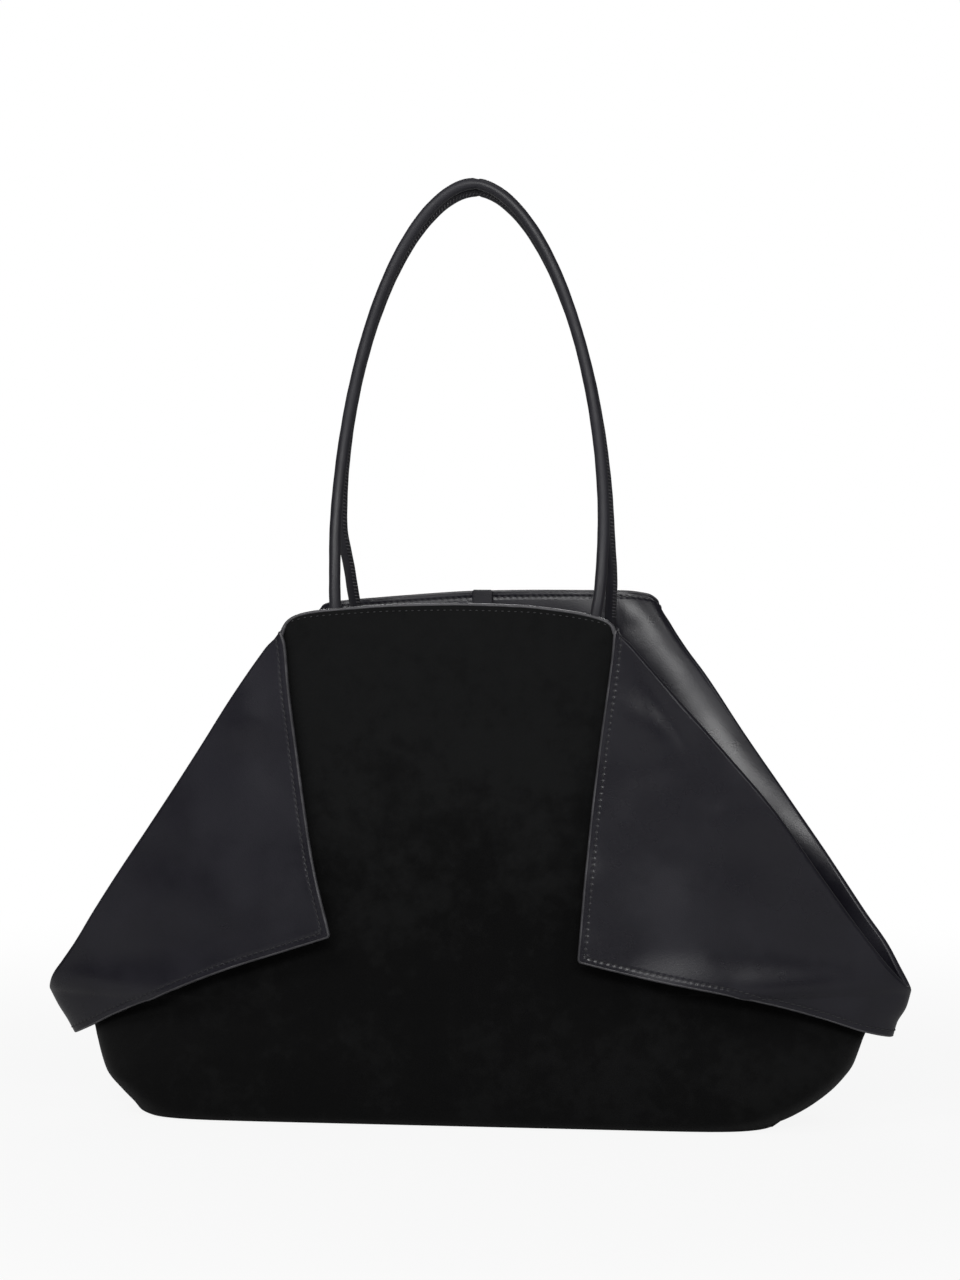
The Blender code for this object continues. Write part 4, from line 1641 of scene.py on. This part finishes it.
@dataclass
class Handle:
    """One rolled handle: a leather roll sewn along its inner side, with its roots and cord.

    The collar is the radius and rise of each ring round a root, from its outer edge to the roll.
    """

    face: Face
    shape: BodyShape
    wardrobe: Wardrobe
    sewing: Sewing
    radius: float = 0.0035
    cord: float = 0.0021
    groove: float = 0.00045
    notch: float = 0.0006
    lean: float = 0.0005
    spring: float = 0.350
    apart: float = 0.060
    touch: float = 0.0084
    fall: float = 0.060
    roundness: float = 1.82
    sink: float = 0.0020
    reach: float = 0.0142
    flex: Vector = field(default_factory=lambda: Vector((0.0795, 0.030, 0.316)))
    seam_turn: float = 0.75
    whip: Seam = Seam(pitch=0.0022, length=0.0033, thick=0.00100, slant=1.1, sink=0.00010)
    tack: Seam = Seam(0.0005, 0.0024, 0.0005, 1.45)
    tack_half: float = 0.0035
    tack_aside: float = 0.0105
    tack_drop: float = 0.0030
    tack_sink: float = 0.0004
    collar: Places = (
        (0.0080, -0.0004), (0.0071, 0.0002), (0.0058, 0.0008), (0.0047, 0.0014),
        (0.0039, 0.0019), (0.0033, 0.0015))

    @property
    def name(self) -> str:
        """The handle's name, which is also its body's."""
        return f"{self.face.word}_handle"

    def depth(self, height: Rows) -> Rows:
        """Half depth of the centre line, leaning in to the other handle."""
        fall = np.exp(-(np.asarray(height) - self.flex.z) / self.fall)
        return (self.touch + (self.apart - self.touch) * fall) / 2

    def arch(self) -> Rows:
        """The centre line between the flex points, as measured from the photo.

        Returns:
            World points from left to right.
        """
        left, right, top = ARCHES[self.face]
        power = 2 / self.roundness
        turn = np.linspace(0, math.pi, 240)
        c, s = np.cos(turn), np.abs(np.sin(turn))
        x = squared(c, power) * np.where(c < 0, left, right) + self.lean * s
        z = self.spring + (top - self.spring) * s**power
        arch = np.stack([x, z], 1)[::-1]
        line = even(np.concatenate([LEFT_FOOT, arch, RIGHT_FOOT]), 300)
        soften(line, 6)
        y = self.face.value * self.depth(line[:, 1])
        return np.stack([line[:, 0], y, line[:, 1]], 1)

    def anchor(self, side: Side) -> tuple[Rows, Rows]:
        """The place on the panel's outer surface above a root's end, and the way out there.

        Args:
            side: Which end.

        Returns:
            The place, and the way.
        """
        spot = np.array([side.value * ANCHOR[0]]), np.array([ANCHOR[1]])
        depth = float(self.shape.depth(self.face, *spot)[0])
        place = np.array([spot[0][0], self.face.value * depth, ANCHOR[1]])
        return place, self.shape.way_out(self.face, *spot)[0]

    def root(self, side: Side, end: Rows) -> Rows:
        """Centre line from the lining up to where the handle starts to move.

        Args:
            side: Which end.
            end: Where the arch starts.

        Returns:
            World points, going up.
        """
        place, way = self.anchor(side)
        foot = place - way * self.sink
        turn = foot - way * self.reach
        share = np.linspace(0, 1, 24)[:, None]
        return (foot * (1 - share) + turn * share) * (1 - share) + (
            turn * (1 - share) + end * share) * share

    def path(self) -> Rows:
        """The whole centre line, from one anchor over the top to the other.

        Returns:
            World points from left to right.
        """
        arch = self.arch()
        left = self.root(Side.LEFT, arch[0])
        right = self.root(Side.RIGHT, arch[-1])
        line = even(np.concatenate([left[:-1], arch, right[::-1][1:]]), 520)
        soften(line, 8)
        return line

    def build(self) -> None:
        """Makes the roll, its whip-stitched seam, both anchors and the cord."""
        path = self.path()
        way = tangents(path)
        inward = np.zeros_like(path)
        inward[:, 1] = -self.face.value
        inward = unit(inward - way * np.sum(inward * way, 1, keepdims=True))
        across = np.cross(way, inward)
        run = along(path)
        twist = (self.seam_turn * (1 - 2 * smooth(run / run[-1], 0.40, 0.72)))[:, None]
        inward, across = (inward * np.cos(twist) + across * np.sin(twist),
                          across * np.cos(twist) - inward * np.sin(twist))
        turns = circle(28)
        top = run[np.argmax(path[:, 2])]
        notch = np.exp(-((run - top - 0.002) / 0.0011) ** 2)
        swell = 1 + 0.010 * np.sin(run * 210) + 0.008 * np.sin(run * 470 + 1.0)
        radius = self.radius * swell - self.notch * notch
        groove = np.exp(-(turns / 0.16) ** 2) + np.exp(-((turns - 2 * math.pi) / 0.16) ** 2)
        shape = radius[:, None] - self.groove * groove[None]
        rings = path[:, None] + shape[..., None] * (
            inward[:, None] * np.cos(turns)[None, :, None]
            + across[:, None] * np.sin(turns)[None, :, None])
        roll = add_grid(f"{self.name}_roll", rings, closed=True)
        self.wardrobe.dress(roll, Look.HANDLE)
        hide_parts(f"{self.name}_cover", f"{self.name}_left_root", f"{self.name}_right_root")
        self.bend(roll)
        seam = path + inward * (radius - 0.00030)[:, None]
        keep = path[:, 2] > 0.300
        # The whip stitches take the lighter edge finish, a painted highlight for the light dots on
        # the thread.
        row = self.sewing.sew(f"{self.name}_whip_stitches", even(seam[keep], 900),
                              even(inward[keep], 900), self.whip, 17,
                              self.wardrobe.made[Look.EDGE])
        self.bend(row)
        for side, end in ((Side.LEFT, path[0]), (Side.RIGHT, path[-1])):
            self.add_anchor(side, end)
        self.add_cord(path)
        LOG.info("%s: roll, whip stitches, anchors and cord", self.name)

    def bend(self, piece: bpy.types.Object) -> None:
        """Bakes a piece's placement into its mesh; the piece is not bent."""
        self.name
        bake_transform(piece)

    def add_anchor(self, side: Side, end: Rows) -> None:
        """A puffed leather collar where the roll goes into the lining, with its bar tack.

        Args:
            side: Which end.
            end: The end of the roll's centre line.
        """
        way = self.anchor(side)[1]
        middle = end - way * 0.0001
        up = unit(np.array([0.0, 0.0, 1.0]) - way * way[2])
        over = np.cross(way, up)
        turn = circle(48)
        widest, least = self.collar[0][0], self.collar[-1][0]
        rings = []
        for radius, lift in self.collar:
            fade = math.sin(math.pi * (radius - least) / (widest - least))
            wave = 1 + 0.035 * fade * np.sin(7 * turn + radius * 500)
            rise = lift + 0.00012 * fade * np.sin(9 * turn + 1.0)
            rings.append(middle - way * rise[:, None] + (
                up * np.cos(turn)[:, None] + over * np.sin(turn)[:, None])
                * (radius * wave)[:, None])
        name = f"{self.name}_{side.word}"
        collar = add_grid(f"{name}_anchor", np.stack(rings), closed=True,
                          flip=self.face is Face.BACK)
        self.wardrobe.dress(collar, Look.LINING)
        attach(collar, "shell")
        aside = self.face.value * side.value * self.tack_aside
        tack = middle + over * aside - up * self.tack_drop - way * self.tack_sink
        line = np.stack([tack - over * self.tack_half, tack + over * self.tack_half])
        tie = self.sewing.sew(f"{name}_bar_tack", even(line, 12), np.tile(-way, (12, 1)),
                              self.tack, 23)
        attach(tie, "shell")

    def add_cord(self, path: Rows) -> None:
        """The cord inside the roll, along the roll's own centre line.

        Args:
            path: The roll's centre line.
        """
        path = path[path[:, 2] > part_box(f"{self.name}_core")[0].z]
        out = np.tile((0.0, -float(self.face.value), 0.0), (len(path), 1))
        cord = add_tube(f"{self.name}_cord", path, out, self.cord, self.cord)
        self.wardrobe.dress(cord, Look.CORD)
        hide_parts(f"{self.name}_core")
        self.bend(cord)


# How far the tabs lie to the right of the bag's middle.
TAB_SHIFTS = {Face.FRONT: 0.0016, Face.BACK: -0.0032}


@dataclass
class Tab:
    """A short closure tab inside one mouth edge, with its steel disc.

    The disc is a share of its radius and of its depth at each ring, from its back to its front.
    """

    face: Face
    wardrobe: Wardrobe
    sewing: Sewing
    rig: Rig
    width: float = 0.0125
    thick: float = 0.0016
    corner: float = 0.0045
    square_corner: float = 0.0010
    back_rise: float = 0.0012
    rim: float = 0.0017
    head_rim: float = 0.0030
    bevel: float = 0.003
    opening: float = 0.0026
    stitch: Seam = Seam(0.0030, 0.0023, 0.00036)
    disc: Places = (
        (0.0, -0.15), (1.0, -0.15), (1.0, 0.75), (0.97, 0.92), (0.90, 1.0), (0.62, 1.0),
        (0.58, 0.86), (0.30, 0.86), (0.26, 0.95), (0.0, 0.97))

    @property
    def name(self) -> str:
        """The tab's name, which is also its body's."""
        return f"{self.face.word}_tab"

    def build(self) -> None:
        """Makes the strap, its stitches and its magnet."""
        low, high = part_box(f"{self.name}_strap")
        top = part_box(f"{self.name}_root")[1].z
        outer = low.y if self.face is Face.FRONT else high.y
        inner = outer - self.face.value * self.thick
        if self.face is Face.BACK:
            top += self.back_rise
        rings = []
        for level in np.concatenate([[low.z], np.linspace(low.z, top, 60), [top]]):
            from_end = min(level - low.z, top - level)
            square = self.face is Face.BACK and top - level < level - low.z
            corner = self.square_corner if square else self.corner
            half = self.width / 2
            if from_end < corner:
                half -= corner - math.sqrt(corner**2 - (corner - from_end) ** 2)
            rings.append(self.ring(half, (outer + inner) / 2, level))
        for end in (0, -1):
            rings[end] = np.broadcast_to(rings[end].mean(0), rings[end].shape)
        strap = add_grid(f"{self.name}_leather", np.stack(rings), closed=True)
        self.wardrobe.dress(strap, Look.HANDLE)
        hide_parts(f"{self.name}_strap", f"{self.name}_root")
        self.bend(strap)
        half, foot, head = self.width / 2 - self.rim, low.z + self.rim, top - self.head_rim
        box = np.array([(half - self.opening, head), (-half, head), (-half, foot + self.bevel),
                        (-half + self.bevel, foot), (half - self.bevel, foot),
                        (half, foot + self.bevel), (half, head)])
        line = np.stack([box[:, 0] + TAB_SHIFTS[self.face], np.full(len(box), inner), box[:, 1]], 1)
        way = np.tile((0.0, -self.face.value, 0.0), (90, 1))
        row = self.sewing.sew(f"{self.name}_stitches", even(line, 90), way, self.stitch, 29)
        self.bend(row)
        self.add_magnet()
        LOG.info("%s: strap, stitches and magnet", self.name)

    def ring(self, half: float, middle: float, level: float) -> Rows:
        """One rounded flat section of the strap.

        Args:
            half: Half its width.
            middle: Depth of the strap's middle.
            level: Its height.

        Returns:
            World points round it.
        """
        turn = circle(24)
        x = squared(np.cos(turn), 0.35) * half + TAB_SHIFTS[self.face]
        y = middle + squared(np.sin(turn), 0.5) * self.thick / 2
        return np.stack([x, y, np.full_like(x, level)], 1)

    def bend(self, piece: bpy.types.Object) -> None:
        """Reads the tab's hinge and bakes a piece's placement into its mesh; the piece is not bent.
        """
        x, y, z = self.rig.hinge(self.name)[0]
        self.name
        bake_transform(piece)

    def add_magnet(self) -> None:
        """A turned steel disc with a soft rim, set on the strap's inner face."""
        low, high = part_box(f"{self.name}_magnet")
        x, z = (low.x + high.x) / 2 + TAB_SHIFTS[self.face], (low.z + high.z) / 2
        radius = (high.z - low.z) / 2
        base, tip = (low.y, high.y) if self.face is Face.FRONT else (high.y, low.y)
        turn = circle(48)
        rings = [np.stack([x + radius * share * np.cos(turn),
                           np.full_like(turn, base + (tip - base) * rise),
                           z + radius * share * np.sin(turn)], 1) for share, rise in self.disc]
        disc = add_grid(f"{self.name}_disc", np.stack(rings), closed=True,
                        flip=self.face is Face.BACK)
        self.wardrobe.dress(disc, Look.MAGNET)
        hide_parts(f"{self.name}_magnet")
        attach(disc, self.name)


@dataclass
class Base:
    """The bag's floor: a suede underside and a padded leather floor over a board.

    Each plate is the inset and height of each of its rings, and a level is the height at which the
    body's outline is read for it.
    """

    shape: BodyShape
    wardrobe: Wardrobe
    count: int = 260
    underside: Places = (
        (0.0030, 0.0010), (0.0020, 0.0002), (0.0004, 0.0006), (0.0004, 0.0014), (0.0030, 0.0016))
    underside_level: float = 0.0006
    floor: Places = (
        (0.0060, 0.0040), (0.0045, 0.0041), (0.0045, 0.0050), (0.0058, 0.0054), (0.0085, 0.0052),
        (0.0110, 0.0054))
    floor_level: float = 0.0020

    def loop(self, inset: float, height: float) -> Rows:
        """The base's outline drawn in by an inset, at a height.

        Args:
            inset: How far it is drawn in.
            height: Where it is read.

        Returns:
            World points round it.
        """
        lines = []
        for face in Face:
            left, right = (self.shape.outlines[side, face].length(np.array([height]))[0]
                           for side in Side)
            length = np.linspace(-left, right, 800)
            level = np.full_like(length, height)
            depth = face.value * self.shape.depth(face, length, level)
            lines.append(np.stack([length, depth], 1)[::-face.value])
        ring = even(np.concatenate(lines + [lines[0][:1]]), self.count + 1)[:-1]
        way = unit(np.roll(ring, -1, 0) - np.roll(ring, 1, 0))
        ring = ring - np.stack([way[:, 1], -way[:, 0]], 1) * inset
        return np.concatenate([ring, np.full((self.count, 1), height)], 1)

    def plate(self, name: str, steps: Places, level: float, look: Look, *nodes: str) -> None:
        """Adds a closed plate round the base's outline.

        Args:
            name: The piece's name.
            steps: Inset and height of each ring, from one side's edge to the other's.
            level: Height at which the outline is read.
            look: Its finish.
            *nodes: The frame's nodes that it stands for.
        """
        rings = []
        for inset, height in steps:
            ring = self.loop(inset, level)
            ring[:, 2] = height
            rings.append(ring)
        centre = (0.0, 0.0, 1.0)
        rings = [rings[0] * centre, *rings, rings[-1] * centre]
        made = add_grid(name, np.stack(rings), closed=True)
        self.wardrobe.dress(made, look)
        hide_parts(*nodes)
        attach(made, "shell")

    def build(self, nodes: dict[str, bpy.types.Object]) -> None:
        """Makes the underside and the floor, and dresses the board.

        Args:
            nodes: The frame's solids by name.
        """
        self.plate("base_suede_underside", self.underside, self.underside_level, Look.SUEDE,
                   "base_panel")
        self.plate("base_leather_floor", self.floor, self.floor_level, Look.LINING, "base_lining")
        board = nodes["base_board"]
        board.data.materials.clear()
        board.data.materials.append(self.wardrobe.made[Look.BOARD])
        LOG.info("base underside, floor and board")


@dataclass(frozen=True)
class Lamp:
    """One soft rectangular lamp."""

    name: str
    place: tuple[float, float, float]
    aim: tuple[float, float, float]
    size: tuple[float, float]
    power: float

    def build(self) -> None:
        """Hangs the lamp."""
        light = bpy.data.lights.new(self.name, "AREA")
        light.shape = "RECTANGLE"
        light.size, light.size_y = self.size
        light.energy = self.power
        lamp = show(self.name, light)
        lamp.location = self.place
        way = Vector(self.aim) - Vector(self.place)
        lamp.rotation_euler = way.to_track_quat("-Z", "Y").to_euler()


@dataclass(frozen=True)
class Studio:
    """A pale floor, soft lamps, a white surround, and the photo's camera."""

    azimuth: float = math.radians(8.5)
    elevation: float = math.radians(3.4)
    distance: float = 2.8
    aim: tuple[float, float, float] = (0.0036, 0.0, 0.2865)
    lens: float = 131.25
    surround: float = 0.11
    floor_reach: float = 14.0
    lamps: tuple[Lamp, ...] = (
        Lamp("key", (-0.55, -0.80, 1.05), (0.0, 0.0, 0.25), (0.55, 0.45), 4.0),
        Lamp("overhead", (0.15, 0.00, 1.50), (0.0, 0.0, 0.25), (0.6, 0.5), 1.2),
        Lamp("right", (1.30, -1.00, 1.00), (0.1, 0.0, 0.2), (0.40, 0.80), 3.8),
        Lamp("front", (0.25, -2.30, 1.30), (0.0, 0.0, 0.2), (2.0, 0.55), 36.0),
        Lamp("rear", (-0.50, 2.20, 1.30), (0.0, 0.0, 0.2), (1.8, 0.60), 22.0),
    )

    def build(self) -> None:
        """Sets up the whole studio."""
        self.add_world()
        self.add_floor()
        for lamp in self.lamps:
            lamp.build()
        self.add_camera()

    def add_world(self) -> None:
        """White to the camera, dimmer as a light."""
        world = bpy.data.worlds.new("surround")
        bpy.context.scene.world = world
        world.use_nodes = True
        wiring = Wiring(world.node_tree)
        back = world.node_tree.nodes["Background"]
        back.inputs["Color"].default_value = WHITE
        rays = wiring.wire("ShaderNodeLightPath", {})
        seen = wiring.times(rays["Is Camera Ray"], 1.0 - self.surround)
        wiring.join(wiring.math("ADD", seen, self.surround), back.inputs["Strength"])

    def add_floor(self) -> None:
        """A wide pale floor that keeps the bag's shadow."""
        mesh = bpy.data.meshes.new("floor")
        edge = self.floor_reach
        mesh.from_pydata([(-edge, -edge, 0), (edge, -edge, 0), (edge, edge, 0), (-edge, edge, 0)],
                         [], [(0, 1, 2, 3)])
        floor = show("floor", mesh)
        made = bpy.data.materials.new("floor")
        made.use_nodes = True
        wiring = Wiring(made.node_tree)
        made.node_tree.nodes.remove(made.node_tree.nodes["Principled BSDF"])
        matt = wiring.wire("ShaderNodeBsdfDiffuse", {"Color": (0.55, 0.55, 0.55, 1.0)})[0]
        glow = wiring.wire("ShaderNodeEmission", {"Color": WHITE})[0]
        seen = wiring.wire("ShaderNodeLightPath", {})["Is Camera Ray"]
        place = wiring.wire("ShaderNodeTexCoord", {})["Object"]
        away = wiring.wire("ShaderNodeVectorMath", {0: place}, operation="LENGTH")["Value"]
        share = wiring.times(seen, wiring.spread(away, 0.35, 1.1, 0.90, 1.0))
        mixed = wiring.wire("ShaderNodeMixShader", {0: share, 1: matt, 2: glow})[0]
        wiring.join(mixed, made.node_tree.nodes["Material Output"].inputs["Surface"])
        mesh.materials.append(made)

    def add_camera(self) -> None:
        """The camera at the photo's angle."""
        away = Vector((math.sin(self.azimuth) * math.cos(self.elevation),
                       -math.cos(self.azimuth) * math.cos(self.elevation),
                       math.sin(self.elevation)))
        camera = show("camera", bpy.data.cameras.new("camera"))
        camera.location = Vector(self.aim) + away * self.distance
        camera.rotation_euler = (-away).to_track_quat("-Z", "Y").to_euler()
        camera.data.lens = self.lens
        camera.data.sensor_fit = "VERTICAL"
        camera.data.sensor_height = 36.0
        camera.data.clip_end = 60.0
        bpy.context.scene.camera = camera


def main() -> None:
    """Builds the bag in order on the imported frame."""
    logging.basicConfig(level=logging.INFO, format="%(name)s: %(message)s")
    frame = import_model()
    bpy.context.scene.view_settings.view_transform = "Standard"
    Studio().build()
    wardrobe = Wardrobe()
    wardrobe.fill()
    sewing = Sewing(wardrobe.made[Look.THREAD])
    rig = Rig(tuple(frame["joints"]))
    shape = BodyShape()
    shell = Shell(shape, wardrobe, sewing)
    wings = {(side, face): Wing(side, face, shape, wardrobe, sewing, rig)
             for face in Face for side in Side}
    for face in Face:
        shell.build(face, (wings[Side.LEFT, face].start(), wings[Side.RIGHT, face].start()))
    Base(shape, wardrobe).build(frame["nodes"])
    for wing in wings.values():
        wing.build()
    for face in Face:
        Handle(face, shape, wardrobe, sewing).build()
        Tab(face, wardrobe, sewing, rig).build()


if __name__ == "__main__":
    main()
